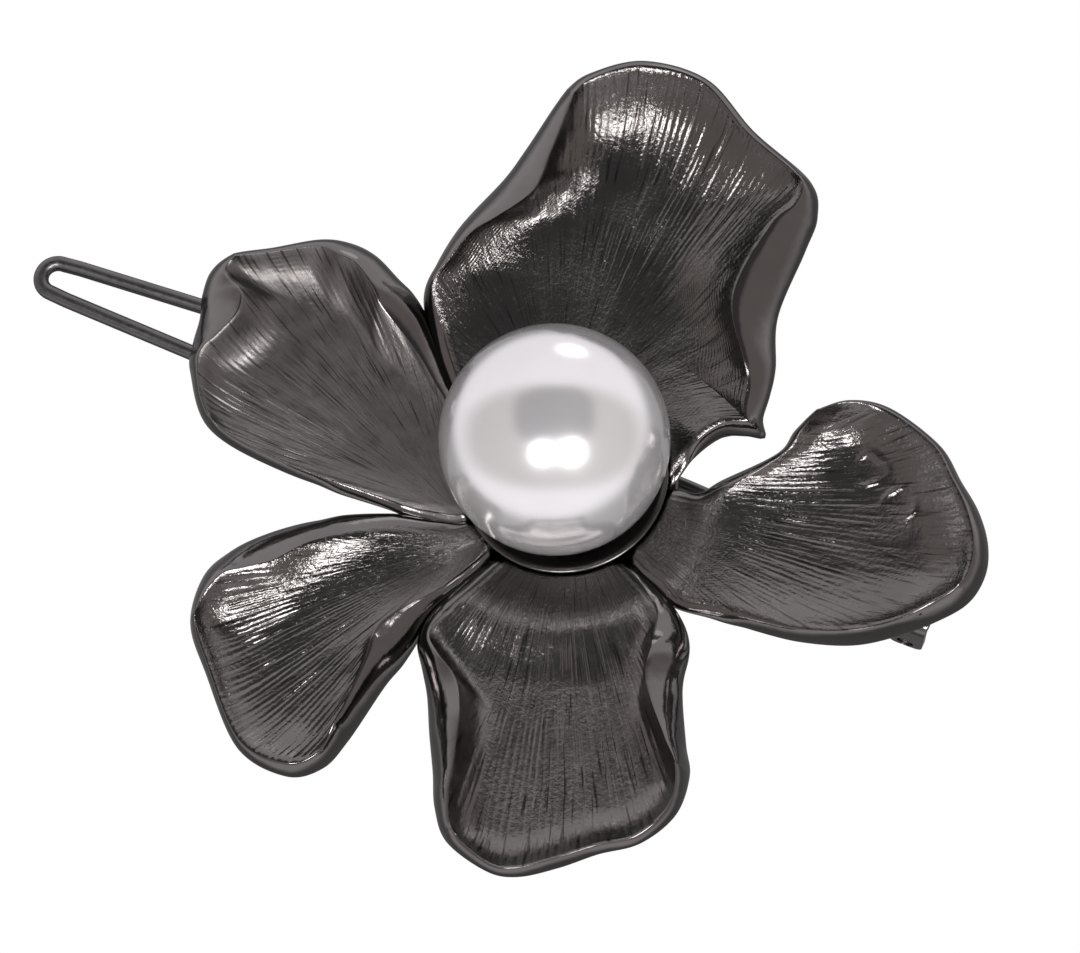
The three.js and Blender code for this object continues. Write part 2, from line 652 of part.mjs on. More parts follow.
function legPoints(side) {
  const v = (x, y, z) => new THREE.Vector3(x, side * y, z);
  const knee = v(LOOP.kneeX, legHalfWidth(LOOP.kneeX), legHeight(LOOP.kneeX));
  const hinge = v(HINGE.x, legHalfWidth(HINGE.x), HINGE.z);
  const end = v(HINGE.x, LOOP.endY, HINGE.z);
  const firstX = LOOP.kneeX - LEG_STEP;
  const arch = [];
  for (let x = firstX; x > LOOP.tipX + 2 * LOOP.tipHalf; x -= LEG_STEP) {
    arch.push(v(x, legHalfWidth(x), legHeight(x)));
  }
  return [
    end,
    ...bend(end, hinge, knee, LOOP.endBend),
    ...bend(hinge, knee, arch[0], LOOP.kneeBend),
    ...arch,
  ];
}

function loopPoints() {
  const tip = Array.from({ length: TIP_STEPS + 1 }, (_, k) => {
    const angle = Math.PI / 2 + (Math.PI * k) / TIP_STEPS;
    const x = LOOP.tipX + LOOP.tipHalf + LOOP.tipHalf * Math.cos(angle);
    return new THREE.Vector3(x, LOOP.tipHalf * Math.sin(angle), legHeight(x));
  });
  return [...legPoints(1), ...tip, ...legPoints(-1).reverse()];
}

// A round wire through the points, its section carried along without twist.
function barGeometry(points) {
  const radius = WIRE_RADIUS;
  const sides = SIDES.wire;
  const positions = [];
  const triangles = [];
  const directions = points.map((_, i) => {
    const before = points[Math.max(i - 1, 0)];
    const after = points[Math.min(i + 1, points.length - 1)];
    return after.clone().sub(before).normalize();
  });
  const normal = new THREE.Vector3(0, 0, 1);
  points.forEach((point, i) => {
    normal.addScaledVector(directions[i], -normal.dot(directions[i])).normalize();
    const binormal = directions[i].clone().cross(normal);
    for (let k = 0; k < sides; k += 1) {
      const angle = (2 * Math.PI * k) / sides;
      const place = point.clone().addScaledVector(normal, radius * Math.cos(angle));
      place.addScaledVector(binormal, radius * Math.sin(angle));
      positions.push(...place.toArray());
    }
  });
  const ring = (i, k) => i * sides + (k % sides);
  for (let i = 0; i < points.length - 1; i += 1) {
    for (let k = 0; k < sides; k += 1) {
      triangles.push(ring(i, k), ring(i, k + 1), ring(i + 1, k + 1));
      triangles.push(ring(i, k), ring(i + 1, k + 1), ring(i + 1, k));
    }
  }
  for (let k = 1; k < sides - 1; k += 1) {
    triangles.push(ring(0, 0), ring(0, k + 1), ring(0, k));
    const last = points.length - 1;
    triangles.push(ring(last, 0), ring(last, k), ring(last, k + 1));
  }
  return indexedGeometry(positions, triangles);
}

// ---- assembly -----------------------------------------------------------------------

function named(name, geometry, look) {
  const mesh = new THREE.Mesh(geometry, new THREE.MeshStandardMaterial(look));
  mesh.name = name;
  return mesh;
}

const pads = {
  petal_upper_left: (patch) => padGeometry(
    patch, [CATCH.x, 0], circleOutline(CATCH.x, 0, CATCH_PAD.radius), CATCH_PAD.bottom,
  ),
  petal_right: (patch) => padGeometry(
    patch, [HINGE.x, 0], boxOutline(HINGE.x, HINGE_PAD.halfLength, HINGE_PAD.halfWidth), HINGE_PAD.bottom,
  ),
};

const flower = new THREE.Group();
flower.position.set(0, FLOWER_OFFSET, 0);
flower.rotation.z = FLOWER_TURN;
for (const [name, petal] of Object.entries(PETALS)) {
  const patch = petalPatch(petal);
  let geometry = petalGeometry(petal, patch);
  if (pads[name]) geometry = toGeometry(toSolid(geometry).add(toSolid(pads[name](patch))));
  flower.add(named(name, geometry, GUNMETAL));
}
flower.add(named("flower_base", flowerBase(), GUNMETAL));
flower.add(named("pearl_cup", pearlCup(), GUNMETAL));
flower.add(named("pearl_post", pearlPost(), GUNMETAL));
flower.add(named("pearl", pearlBody(), PEARL_WHITE));

const clip = new THREE.Group();
clip.add(flower);
clip.add(named("catch_stud", catchStud(), GUNMETAL));
clip.add(named("hinge_bracket", hingeBracket(), GUNMETAL));
clip.add(named("wire_loop", barGeometry(loopPoints()), WIRE_STEEL));

export default clip;
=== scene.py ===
"""Looks for a flower hair clip: five cast petals, a pearl in its cup, a catch and a wire loop.

Shapes are worked out in millimetres in the part's own frame and turned into metres when
their meshes are made. Every piece stands for one CAD node and rides on that node's body.
"""
import math

import bmesh
import bpy
import numpy as np
from mathutils import Matrix, Vector


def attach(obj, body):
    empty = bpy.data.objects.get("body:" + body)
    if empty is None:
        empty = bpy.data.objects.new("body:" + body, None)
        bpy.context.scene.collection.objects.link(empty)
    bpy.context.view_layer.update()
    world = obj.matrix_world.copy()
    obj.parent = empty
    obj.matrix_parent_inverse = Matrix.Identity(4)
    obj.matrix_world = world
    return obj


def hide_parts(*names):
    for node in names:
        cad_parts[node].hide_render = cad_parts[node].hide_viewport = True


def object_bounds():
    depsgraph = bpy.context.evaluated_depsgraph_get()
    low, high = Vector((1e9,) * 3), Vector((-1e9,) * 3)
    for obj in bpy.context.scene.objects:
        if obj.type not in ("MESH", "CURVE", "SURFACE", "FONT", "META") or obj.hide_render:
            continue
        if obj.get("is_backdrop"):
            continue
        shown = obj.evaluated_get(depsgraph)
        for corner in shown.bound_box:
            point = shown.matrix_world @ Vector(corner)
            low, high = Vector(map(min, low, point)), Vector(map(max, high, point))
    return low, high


MM = 0.001

# ---- driving dimensions, in millimetres, as the CAD part has them -----------------------

PEARL_RADIUS = 8.0
WIRE_RADIUS = 0.54
FLOWER_TURN = math.radians(21)
FLOWER_CENTRE = (0.0, -1.9)

BASE_RADIUS = 7.6
BASE_TOP = 1.0
PART_BOTTOM = 1.05

CUP_FOOT = 4.6
CUP_RIM = 7.2
CUP_RIM_TOP = 3.15
CUP_FLOOR = 1.8
CUP_FLOOR_RADIUS = 4.2
POST_RADIUS = 0.7
POST_BOTTOM = 1.85
POST_TOP = 6.4
PEARL_CENTRE = 9.9
PEARL_DRILL = 0.8
PEARL_DRILL_TOP = 6.6

ROOT_RADIUS = 5.6
ROOT_TOP = 1.55
COLLAR_RADIUS = 7.4
COLLAR_TOP = 2.85
SOLDER_RADIUS = 7.9
THIN_RADIUS = 12.0
SHEET = 1.1
FLOOR_RADIUS = 28.0
LIP = 0.7
LIP_SHARE = 0.6
UNDER_INSET = 0.9
INSET_SHARE = 0.3
WALL_START = 7.4
WALL_FULL = 9.5
WALL_POWER = 3
WALL_BLEND = 4
SWELL_RADIUS = 11.6
SWELL_WIDTH = 1.7
COLLAR_BULGE = 0.05

CATCH_X = -20.0
CATCH_BALL = 1.6
CATCH_BALL_Z = -1.55
CATCH_NECK = 0.8
CATCH_FLARE = 0.4
CATCH_FOOT = 1.7
CATCH_FOOT_TOP = 1.95
CATCH_FOOT_HEIGHT = 0.6
CATCH_PAD_RADIUS = 2.1
CATCH_PAD_BOTTOM = 2.0

HINGE_X = 26.0
HINGE_Z = -0.6
HINGE_HOLE = 0.6
EAR_INNER = 3.0
EAR_THICKNESS = 0.6
EAR_BOTTOM = 0.65
EAR_CORNER = 0.5
EAR_HALF_BOTTOM = 1.15
EAR_HALF_TOP = 1.8
BRACKET_TOP = 2.55
HINGE_PAD_BOTTOM = 2.6
HINGE_PAD_HALF_LENGTH = 1.7
HINGE_PAD_HALF_WIDTH = 3.4
PAD_DEPTH = 0.55
PAD_STEP = 0.4

TIP_X = -41.4
TIP_HALF = 1.15
ARCH_X = -24.0
ARCH_FALL = 0.0031
KNEE_X = 20.0
KNEE_BEND = 1.8
END_BEND = 0.65
END_Y = 3.45
LEG_WIDTHS = [(TIP_X, TIP_HALF), (-29.0, 1.75), (7.0, 2.35), (HINGE_X, 2.35)]
WIRE_EASE = 0.08
WIRE_END_SHARE = 0.84

# Each station of a petal's rim is (across, along, edge height, band, rise): the edge's
# place in the petal's own axes, how far inside it the crest runs and how far above it.
# Each petal's colour scale makes its metal lighter or darker: painted light and shade for how the light
# falls on that petal.
PETALS = {
    "petal_top": {
        "turn": 66, "floor": 4.3, "wall": 9, "swell": 0,
        "fan": (2.5, 3.5), "roughness": (0.1, 0.17),
        "sand": 0.06, "painted_light_tone": 0.95, "joined": ("left",), "marked": False,
        "left": [
            (5.5, 0.1, 1.35, 0.4, 0.2), (8, 1.1, 2.2, 0.5, 0.6), (10.5, 3.1, 2.7, 0.6, 0.8),
            (12.8, 5.4, 3, 0.7, 1), (15, 8, 3.2, 0.8, 2.2), (15.2, 10.5, 3.4, 1.3, 2.7),
            (15, 13, 3.6, 1.8, 3), (14.5, 15, 3.8, 2.6, 3.4), (13.5, 18, 4.2, 3.2, 3.2),
            (13, 20.5, 4.6, 2.5, 2.9),
        ],
        "tip": [
            (12, 25, 6, 1.3, 1.8), (10.5, 27, 6.8, 0.8, 1.2), (7.5, 29, 7.1, 0.6, 0.9),
            (3, 29.5, 6.9, 0.5, 0.9), (-1.5, 27.5, 6.3, 0.5, 0.9), (-6.5, 26, 5.4, 0.7, 1.6),
        ],
        "right": [
            (-8, 24, 4.8, 1.4, 2.4), (-8.2, 21.5, 4.2, 2.3, 3.2), (-8.5, 16.5, 3.8, 2.9, 3.2),
            (-10, 13, 3.6, 2.1, 2.6), (-10.5, 11, 3.4, 1.4, 2), (-10.8, 9.3, 3.3, 1.1, 1.8),
            (-11.5, 8.2, 3.1, 0.9, 1.7), (-10.2, 7.8, 3, 0.7, 1.6), (-8.7, 7, 3, 0.5, 1.6),
            (-7.5, 5, 2.6, 0.5, 1.2), (-6.9, 2.7, 2.2, 0.5, 0.6), (-5.4, 1.9, 1.35, 0.4, 0.2),
        ],
    },
    "petal_upper_left": {
        "turn": 160, "floor": 4, "wall": 4.5, "swell": 0,
        "fan": (5, 6), "roughness": (0.36, 0.46),
        "sand": 0.018, "painted_light_tone": 1.08, "joined": ("left", "right"), "marked": False,
        "left": [
            (4, 4, 1.35, 0.4, 0.2), (5.3, 5.8, 2.2, 0.4, 0.6), (6, 8, 2.6, 0.4, 0.7),
            (6.3, 9.7, 2.8, 0.4, 0.8), (6.3, 11, 2.9, 0.4, 0.8), (6.5, 18.5, 3.3, 0.4, 1.2),
        ],
        "tip": [
            (5.5, 24.5, 3.8, 0.4, 1.4), (2, 27.5, 3.8, 0.8, 2.2), (0, 28.2, 3.6, 2.1, 3),
            (-2, 28.5, 3.6, 3.2, 3.2), (-3.7, 29, 3.7, 3, 3), (-5.5, 29, 4, 1.6, 2.2),
            (-7, 27.8, 4.6, 0.8, 1.4),
        ],
        "right": [
            (-8.3, 25.3, 4.9, 0.7, 1.2), (-10, 22.5, 4.8, 1, 1.4), (-10.6, 20.5, 4.4, 1.7, 2.2),
            (-10.4, 18.5, 4.2, 1.8, 2.4), (-9.5, 16.5, 3.8, 2.1, 2.6), (-8.5, 14.6, 3.4, 2.6, 2.4),
            (-5.7, 12.2, 2.8, 1.3, 1.4), (-3.4, 10.2, 2.6, 0.7, 0.9), (-1.3, 7.7, 2.2, 0.5, 0.6),
            (-0.2, 5.6, 1.35, 0.4, 0.2),
        ],
    },
    "petal_lower_left": {
        "turn": 209, "floor": 4.2, "wall": 6, "swell": 0,
        "fan": (1.2, 7.4), "roughness": (0.12, 0.2),
        "sand": 0.04, "painted_light_tone": 0.95, "joined": ("left", "right"), "marked": False,
        "left": [
            (1.8, 5.3, 1.35, 0.2, 0.2), (2.8, 8, 2.2, 0.3, 0.6), (3.7, 10.8, 2.5, 0.5, 0.9),
            (4.4, 12.6, 2.6, 1, 1.6), (5.8, 14.5, 2.8, 2.2, 2.4), (7, 16, 3, 2.3, 2.8),
            (8, 18, 3.2, 1.5, 2.6),
        ],
        "tip": [
            (10.5, 22, 3.6, 0.9, 2.2), (11.6, 24.5, 4, 0.6, 1.8), (11, 27, 4.4, 0.6, 1.4),
            (7.5, 29, 4.4, 0.35, 1.2), (1.5, 28.5, 4.4, 0.35, 1.4), (-2.4, 27.8, 4.2, 0.6, 2),
        ],
        "right": [
            (-5.2, 25.5, 3.8, 1.8, 3), (-6, 23, 3.8, 2.6, 2.8), (-6, 20.5, 3.8, 2.9, 2.4),
            (-5.5, 17.5, 3.6, 2.2, 2), (-4.5, 14.6, 3.4, 1.6, 1.4), (-3.4, 12.1, 3, 1.1, 1),
            (-2.8, 11.1, 2.8, 0.9, 0.9), (-1.7, 9.7, 2.6, 0.7, 0.7), (-0.7, 8, 2.2, 0.4, 0.5),
            (-0.2, 5.6, 1.35, 0.2, 0.2),
        ],
    },
    "petal_bottom": {
        "turn": 272, "floor": 4.4, "wall": 4, "swell": 0.8,
        "fan": (0, 1), "roughness": (0.17, 0.26),
        "sand": 0.045, "painted_light_tone": 1.05, "joined": ("left", "right"), "marked": False,
        "left": [
            (3, 4.7, 1.35, 0.4, 0.2), (4.4, 6.5, 2.2, 0.5, 0.6), (6.2, 8.6, 2.8, 0.7, 0.8),
            (7.5, 10.1, 3, 1.2, 1.4), (8.4, 12, 3.2, 2.2, 2), (8.6, 14, 3.4, 2.3, 2.6),
            (8.3, 16.5, 3.6, 2.3, 2.8), (8.6, 20.5, 4, 1.3, 2.6),
        ],
        "tip": [
            (8.9, 23, 4.4, 0.8, 2.2), (8, 26, 4.9, 0.5, 1.4), (5.6, 28.1, 5.2, 0.4, 1),
            (2.7, 28.8, 5.2, 0.4, 1.1), (0, 29.7, 5.2, 0.4, 1.3), (-2.8, 30.3, 5.3, 0.4, 1.1),
            (-5, 29.8, 5.3, 0.4, 1), (-7.8, 27.4, 4.8, 0.7, 1.5),
        ],
        "right": [
            (-8.7, 24.7, 4.4, 1.2, 2.2), (-8.9, 22, 4, 1.8, 2.8), (-9.2, 19, 3.8, 2.4, 3),
            (-9.4, 16.2, 3.6, 2.3, 2.6), (-9.8, 14, 3.4, 1.4, 2.2), (-10, 11.9, 3.2, 0.8, 1.6),
            (-9.2, 10, 3, 0.7, 1.2), (-7.5, 8.1, 2.6, 0.8, 0.8), (-5.6, 6.3, 2.2, 0.6, 0.6),
            (-3.7, 4.2, 1.35, 0.4, 0.2),
        ],
    },
    "petal_right": {
        "turn": 350, "floor": 4.4, "wall": 7, "swell": 0.3,
        "fan": (-1, 2), "roughness": (0.12, 0.22),
        "sand": 0.05, "painted_light_tone": 1, "joined": ("right",), "marked": True,
        "left": [
            (0.3, 5.6, 1.35, 0.4, 0.2), (0.7, 7.5, 2.2, 0.6, 0.6), (0.5, 9.4, 2.8, 0.8, 0.7),
            (1.6, 10.8, 3, 1, 1.3), (3.9, 14.3, 3.7, 0.8, 1.7), (5.6, 15.2, 4, 0.9, 2.1),
        ],
        "tip": [
            (7, 16.5, 4.4, 0.8, 2.3), (8.1, 18.7, 5, 0.6, 1.8), (8, 21.6, 5.3, 0.5, 1.1),
            (6, 25.5, 5, 0.5, 1.4), (3.7, 27.5, 4.8, 0.6, 1.8), (1.8, 29.1, 4.6, 0.8, 2),
            (-0.4, 30.2, 4.5, 0.9, 2.1), (-2.6, 30.5, 4.4, 0.9, 2.2), (-4.8, 29.8, 4.4, 0.8, 2),
        ],
        "right": [
            (-6.4, 28, 4.2, 0.8, 2), (-8, 25.3, 4, 0.5, 2), (-9.1, 22.4, 3.8, 0.5, 2),
            (-9.4, 18.8, 3.6, 0.5, 1.6), (-9, 15.5, 3.2, 0.5, 1.4), (-8.4, 12.3, 3, 0.5, 1),
            (-8, 9.6, 2.8, 0.4, 0.7), (-6.8, 7.9, 2.5, 0.4, 0.6), (-5.5, 6.2, 2.2, 0.4, 0.6),
            (-3.9, 4.1, 1.35, 0.4, 0.2),
        ],
    },
}

# ---- detail that only the looks have ----------------------------------------------------

RIM_STEPS = 16
SIDE_SAMPLES = 400
UNDER_ROWS = 12
UNDER_COLUMNS = 54
DETAIL = 8
SKIRT_ANGLES = [5, 11, 18, 27, 38, 50, 62, 73, 82, 90]
SKIRT_POWER = 1.4
LIP_ROUND = 0.12
LIP_BEND = (0.12, 0.8)
CREST_ROUND = 0.6
CREST_SLOPE = 0.9

GROOVES_PER_RADIAN = 48
GROOVE_DEPTH = 0.05
GROOVE_DRIFT = 0.9
RIPPLE_DEPTH = 0.05
GRAIN_MARGIN = 0.6
GRAIN_RADII = (7, 13)

# Neighbouring petals' skirts touch below this radius, where solder joins them.
JOIN_REACH = 0.17
JOIN_RADII = (15.5, 17.5)

# Ring-shaped casting marks in petal_right, in its own axes: across, along, radius.
RING_MARKS = [(3.7, 21.0, 1.1), (1.7, 23.6, 1.1)]
RING_HEIGHT = 0.1
RING_WIDTH = 0.22
RING_WOBBLE = 0.14
RING_FOOT = 0.03

# ---- view and light ---------------------------------------------------------------------

VIEW_RIGHT = Vector((0.912, 0.3956, -0.11)).normalized()
VIEW_BACK = Vector((0.242, -0.3009, 0.922)).normalized()
VIEW_UP = VIEW_BACK.cross(VIEW_RIGHT).normalized()
VIEW_WIDTH = 75.0
VIEW_SHIFT = (-2.208, 1.146)
VIEW_DISTANCE = 1000.0
SENSOR_WIDTH = 36.0


# ---- small helpers ----------------------------------------------------------------------


def lerp(a, b, t):
    return a + (b - a) * t


def smoothstep(x, low, high):
    t = np.clip((x - low) / (high - low), 0, 1)
    return t * t * (3 - 2 * t)


def flower_to_part(points):
    """Points in the flower's axes, turned and moved into the part's frame."""
    cos, sin = math.cos(FLOWER_TURN), math.sin(FLOWER_TURN)
    x, y, z = np.asarray(points, float).T
    return np.column_stack([
        x * cos - y * sin + FLOWER_CENTRE[0],
        x * sin + y * cos + FLOWER_CENTRE[1],
        z,
    ])


def part_to_flower(x, y):
    cos, sin = math.cos(FLOWER_TURN), math.sin(FLOWER_TURN)
    dx, dy = x - FLOWER_CENTRE[0], y - FLOWER_CENTRE[1]
    return np.array([dx * cos + dy * sin, dy * cos - dx * sin])


class Noise:
    """Smooth value noise on a seeded table."""

    SIZE = 256

    def __init__(self, seed):
        self.table = np.random.default_rng(seed).random((self.SIZE, self.SIZE))

    def __call__(self, x, y):
        i, j = np.floor(x).astype(int), np.floor(y).astype(int)
        u, v = smoothstep(x - i, 0, 1), smoothstep(y - j, 0, 1)
        corner = lambda a, b: self.table[(i + a) % self.SIZE, (j + b) % self.SIZE]
        low = lerp(corner(0, 0), corner(1, 0), u)
        high = lerp(corner(0, 1), corner(1, 1), u)
        return lerp(low, high, v)


def make_mesh(name, points, faces, material_index=None, sharp=38):
    """A smooth-shaded mesh object in metres from points in millimetres."""
    mesh = bpy.data.meshes.new(name)
    mesh.from_pydata((np.asarray(points, float) * MM).tolist(), [], faces)
    if material_index is not None:
        mesh.polygons.foreach_set("material_index", material_index)
    work = bmesh.new()
    work.from_mesh(mesh)
    bmesh.ops.recalc_face_normals(work, faces=work.faces)
    work.to_mesh(mesh)
    work.free()
    mesh.shade_smooth()
    mesh.set_sharp_from_angle(angle=math.radians(sharp))
    piece = bpy.data.objects.new(name, mesh)
    bpy.context.scene.collection.objects.link(piece)
    return piece


def dress(piece, body, slot, node, *materials):
    """Gives a piece its materials and its body, and hides the CAD node it stands for; the slot is not
    used.
    """
    for material in materials:
        piece.data.materials.append(material)
    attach(piece, body)
    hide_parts(node)
    return piece


def rounded(points, radius, steps=4):
    """An open outline with every inner corner eased by a short curve."""
    points = [Vector(p) for p in points]
    eased = [points[0]]
    for before, corner, after in zip(points, points[1:], points[2:]):
        back, ahead = before - corner, after - corner
        start = corner + back * min(radius / back.length, 0.45)
        end = corner + ahead * min(radius / ahead.length, 0.45)
        for k in range(steps + 1):
            u = k / steps
            eased.append(start.lerp(corner, u).lerp(corner.lerp(end, u), u))
    eased.append(points[-1])
    return [tuple(p) for p in eased]


def lathe(profile, sides, centre=FLOWER_CENTRE):
    """Points and faces of a body turned about a vertical axis from (radius, height)."""
    points, faces, rings = [], [], []
    for radius, height in profile:
        start = len(points)
        count = sides if radius > 1e-6 else 1
        for k in range(count):
            angle = 2 * math.pi * k / sides
            x = centre[0] + radius * math.cos(angle)
            y = centre[1] + radius * math.sin(angle)
            points.append((x, y, height))
        rings.append([start + (k % count) for k in range(sides)])
    for low, high in zip(rings, rings[1:]):
        for k in range(sides):
            n = (k + 1) % sides
            face = [low[k], low[n], high[n], high[k]]
            faces.append(list(dict.fromkeys(face)))
    return points, faces


# ---- petals -----------------------------------------------------------------------------


def smooth_chain(stations):
    """A Catmull-Rom curve through the stations, which keeps all five numbers smooth."""
    p = np.array(stations, float)
    p = np.vstack([2 * p[0] - p[1], p, 2 * p[-1] - p[-2]])
    u = (np.arange(RIM_STEPS) / RIM_STEPS)[:, None]
    spans = []
    for a, b, c, d in zip(p, p[1:], p[2:], p[3:]):
        square = 2 * a - 5 * b + 4 * c - d
        cube = 3 * b - a - 3 * c + d
        spans.append(0.5 * (2 * b + (c - a) * u + square * u**2 + cube * u**3))
    return np.vstack([*spans, p[-2]])


def inward_normals(points):
    """The direction into the petal at each rim point, averaged over its neighbours."""
    padded = np.vstack([points[0], points, points[-1]])
    tangents = padded[2:] - padded[:-2]
    tangents /= np.linalg.norm(tangents, axis=1)[:, None]
    reach = np.arange(-RIM_STEPS, RIM_STEPS + 1)
    weights = 1 + np.cos(np.pi * reach / (RIM_STEPS + 1))
    ends = np.pad(tangents, ((RIM_STEPS, RIM_STEPS), (0, 0)), mode="edge")
    smooth = np.column_stack([np.convolve(ends[:, k], weights, "valid") for k in (0, 1)])
    smooth /= np.linalg.norm(smooth, axis=1)[:, None]
    return np.column_stack([smooth[:, 1], -smooth[:, 0]])


def petal_rim(shape):
    """The dense rim in flower axes: edge x, y, z, crest x, y, z."""
    turn = math.radians(shape["turn"])
    cos, sin = math.cos(turn), math.sin(turn)
    dense = smooth_chain(shape["left"] + shape["tip"] + shape["right"])
    across, along, height, band, rise = dense.T
    edge = np.column_stack([along * cos - across * sin, along * sin + across * cos])
    inward = inward_normals(edge)
    crest = edge + band[:, None] * inward
    reach = JOIN_REACH * (1 - smoothstep(np.hypot(*edge.T), *JOIN_RADII))
    if "left" not in shape["joined"]:
        reach[: len(shape["left"]) * RIM_STEPS] = 0
    if "right" not in shape["joined"]:
        reach[-len(shape["right"]) * RIM_STEPS :] = 0
    return np.column_stack([edge - reach[:, None] * inward, height, crest, height + rise])


def evenly(rim, count):
    """The same stretch of rim as count + 1 points at even distances."""
    steps = np.hypot(*np.diff(rim[:, :2], axis=0).T)
    lengths = np.concatenate([[0], np.cumsum(steps)])
    targets = np.linspace(0, lengths[-1], count + 1)
    return np.column_stack([np.interp(targets, lengths, column) for column in rim.T])


def sample(side, u):
    place = np.clip(u, 0, 1) * (len(side) - 1)
    i = np.minimum(place.astype(int), len(side) - 2)
    return lerp(side[i], side[i + 1], (place - i)[..., None])


class PetalSurface:
    """A patch stretched between a petal's sides, tip and root, by (s, t)."""

    def __init__(self, shape):
        self.shape = shape
        rim = petal_rim(shape)
        left_end = len(shape["left"]) * RIM_STEPS
        right_start = (len(shape["left"]) + len(shape["tip"]) - 1) * RIM_STEPS
        self.left = evenly(rim[: left_end + 1], SIDE_SAMPLES)
        self.tip = evenly(rim[left_end : right_start + 1], SIDE_SAMPLES)
        self.right = evenly(rim[right_start:], SIDE_SAMPLES)[::-1]
        start, end = self.left[0, 3:5], self.right[0, 3:5]
        angles = [math.atan2(y, x) for x, y in (start, end)]
        if angles[1] > angles[0]:
            angles[1] -= 2 * math.pi
        self.root_angles = angles
        self.root_radii = [math.hypot(*start), math.hypot(*end)]

    def root(self, s):
        angle = lerp(*self.root_angles, s)
        radius = lerp(*self.root_radii, s)
        return np.stack([radius * np.cos(angle), radius * np.sin(angle)], axis=-1)

    def point(self, s, t):
        left, right = sample(self.left, t)[..., 3:5], sample(self.right, t)[..., 3:5]
        tip = sample(self.tip, s)[..., 3:5]
        s, t = s[..., None], t[..., None]
        across = lerp(left, right, s)
        along = lerp(self.root(s[..., 0]), tip, t)
        low = lerp(self.left[0, 3:5], self.right[0, 3:5], s)
        high = lerp(self.left[-1, 3:5], self.right[-1, 3:5], s)
        return across + along - lerp(low, high, t)

    def floor_height(self, radius):
        inner = (radius - ROOT_RADIUS) / (COLLAR_RADIUS - ROOT_RADIUS)
        outer = (radius - COLLAR_RADIUS) / (FLOOR_RADIUS - COLLAR_RADIUS)
        off = (radius - SWELL_RADIUS) / SWELL_WIDTH
        bulge = self.shape["swell"] * (np.exp(-off * off / 2) - COLLAR_BULGE)
        return np.where(
            radius < COLLAR_RADIUS,
            lerp(ROOT_TOP, COLLAR_TOP, inner),
            lerp(COLLAR_TOP, self.shape["floor"], outer) + np.maximum(0, bulge),
        )

    def thickness(self, radius):
        soldered = self.floor_height(np.minimum(radius, SOLDER_RADIUS)) - PART_BOTTOM
        outward = (radius - SOLDER_RADIUS) / (THIN_RADIUS - SOLDER_RADIUS)
        return lerp(soldered, SHEET, np.clip(outward, 0, 1))

    def wall_feet(self, s, t):
        """How far each wall rises beside (s, t), and how far away its crest is."""
        here = self.point(s, t)
        feet = [
            (sample(self.left, t), self.point(np.zeros_like(s), t)),
            (sample(self.right, t), self.point(np.ones_like(s), t)),
            (sample(self.tip, s), self.point(s, np.ones_like(t))),
        ]
        for station, foot in feet:
            radius = np.hypot(station[..., 3], station[..., 4])
            rise = np.maximum(0, station[..., 5] - self.floor_height(radius))
            rise = rise * smoothstep(radius, WALL_START, WALL_FULL)
            yield rise, np.linalg.norm(here - foot, axis=-1)

    def height(self, s, t):
        total = 0
        for rise, away in self.wall_feet(s, t):
            near = np.maximum(0, 1 - away / self.shape["wall"])
            total = total + (rise * near**WALL_POWER) ** WALL_BLEND
        radius = np.linalg.norm(self.point(s, t), axis=-1)
        return self.floor_height(radius) + total ** (1 / WALL_BLEND)

    def crest_distance(self, s, t):
        return np.min([away for _, away in self.wall_feet(s, t)], axis=0)


def crest_round(away):
    """How far the inner wall is eased down where it meets the crest."""
    near = np.clip(1 - away / CREST_ROUND, 0, 1)
    return CREST_SLOPE * CREST_ROUND / 2 * near**2


def petal_place(shape, across, along):
    """A place in a petal's own axes, in flower axes."""
    turn = math.radians(shape["turn"])
    cos, sin = math.cos(turn), math.sin(turn)
    return along * cos - across * sin, along * sin + across * cos


def grain(points, away, noise, fan):
    """How much the grain, engraved out of the fan's centre, raises the upper face."""
    x, y = points[..., 0] - fan[0], points[..., 1] - fan[1]
    radius = np.hypot(x, y)
    lane = (np.arctan2(y, x) + math.pi) * GROOVES_PER_RADIAN
    lane = lane + GROOVE_DRIFT * (noise(lane * 0.4, radius / 7 + 90) - 0.5)
    cut = (0.5 + 0.5 * np.cos(2 * math.pi * lane)) ** 1.5
    depth = GROOVE_DEPTH * 2 * noise(np.round(lane) * 1.7, radius / 2.5) ** 1.5
    ripple = RIPPLE_DEPTH * (noise(lane / 5, radius / 9 + 40) - 0.5)
    inside = smoothstep(away, 0, GRAIN_MARGIN)
    return inside * (ripple - cut * depth * smoothstep(radius, *GRAIN_RADII))


def ring_marks(points, shape):
    """Low raised rings left by the casting."""
    raised = 0
    for across, along, radius in RING_MARKS:
        x, y = petal_place(shape, across, along)
        x, y = points[..., 0] - x, points[..., 1] - y
        angle = np.arctan2(y, x)
        off = np.hypot(x, y) - radius * (1 + RING_WOBBLE * np.sin(3 * angle + along))
        crest = RING_HEIGHT * (1 + np.cos(2 * angle + across)) / 2 + RING_FOOT
        raised = raised + crest * np.exp(-((off / RING_WIDTH) ** 2))
    return raised


def ring_order(rows, columns):
    """Grid places along the rim: up the left side, across the tip, down the right."""
    left = [(i, 0) for i in range(rows + 1)]
    tip = [(rows, j) for j in range(1, columns)]
    right = [(i, columns) for i in range(rows, -1, -1)]
    return left + tip + right


def stitch(fine, coarse, ratio):
    """Triangles joining a fine line of vertices to a coarse one."""
    faces = []
    middle = ratio // 2
    for k in range(len(coarse) - 1):
        for n in range(ratio):
            a = ratio * k + n
            foot = coarse[k] if n <= middle else coarse[k + 1]
            faces.append([fine[a], fine[a + 1], foot])
            if n == middle:
                faces.append([fine[a + 1], coarse[k + 1], foot])
    return faces


def grid_faces(index):
    """Quads over a grid of vertex numbers."""
    return np.stack([index[:-1, :-1], index[:-1, 1:], index[1:, 1:], index[1:, :-1]], -1)


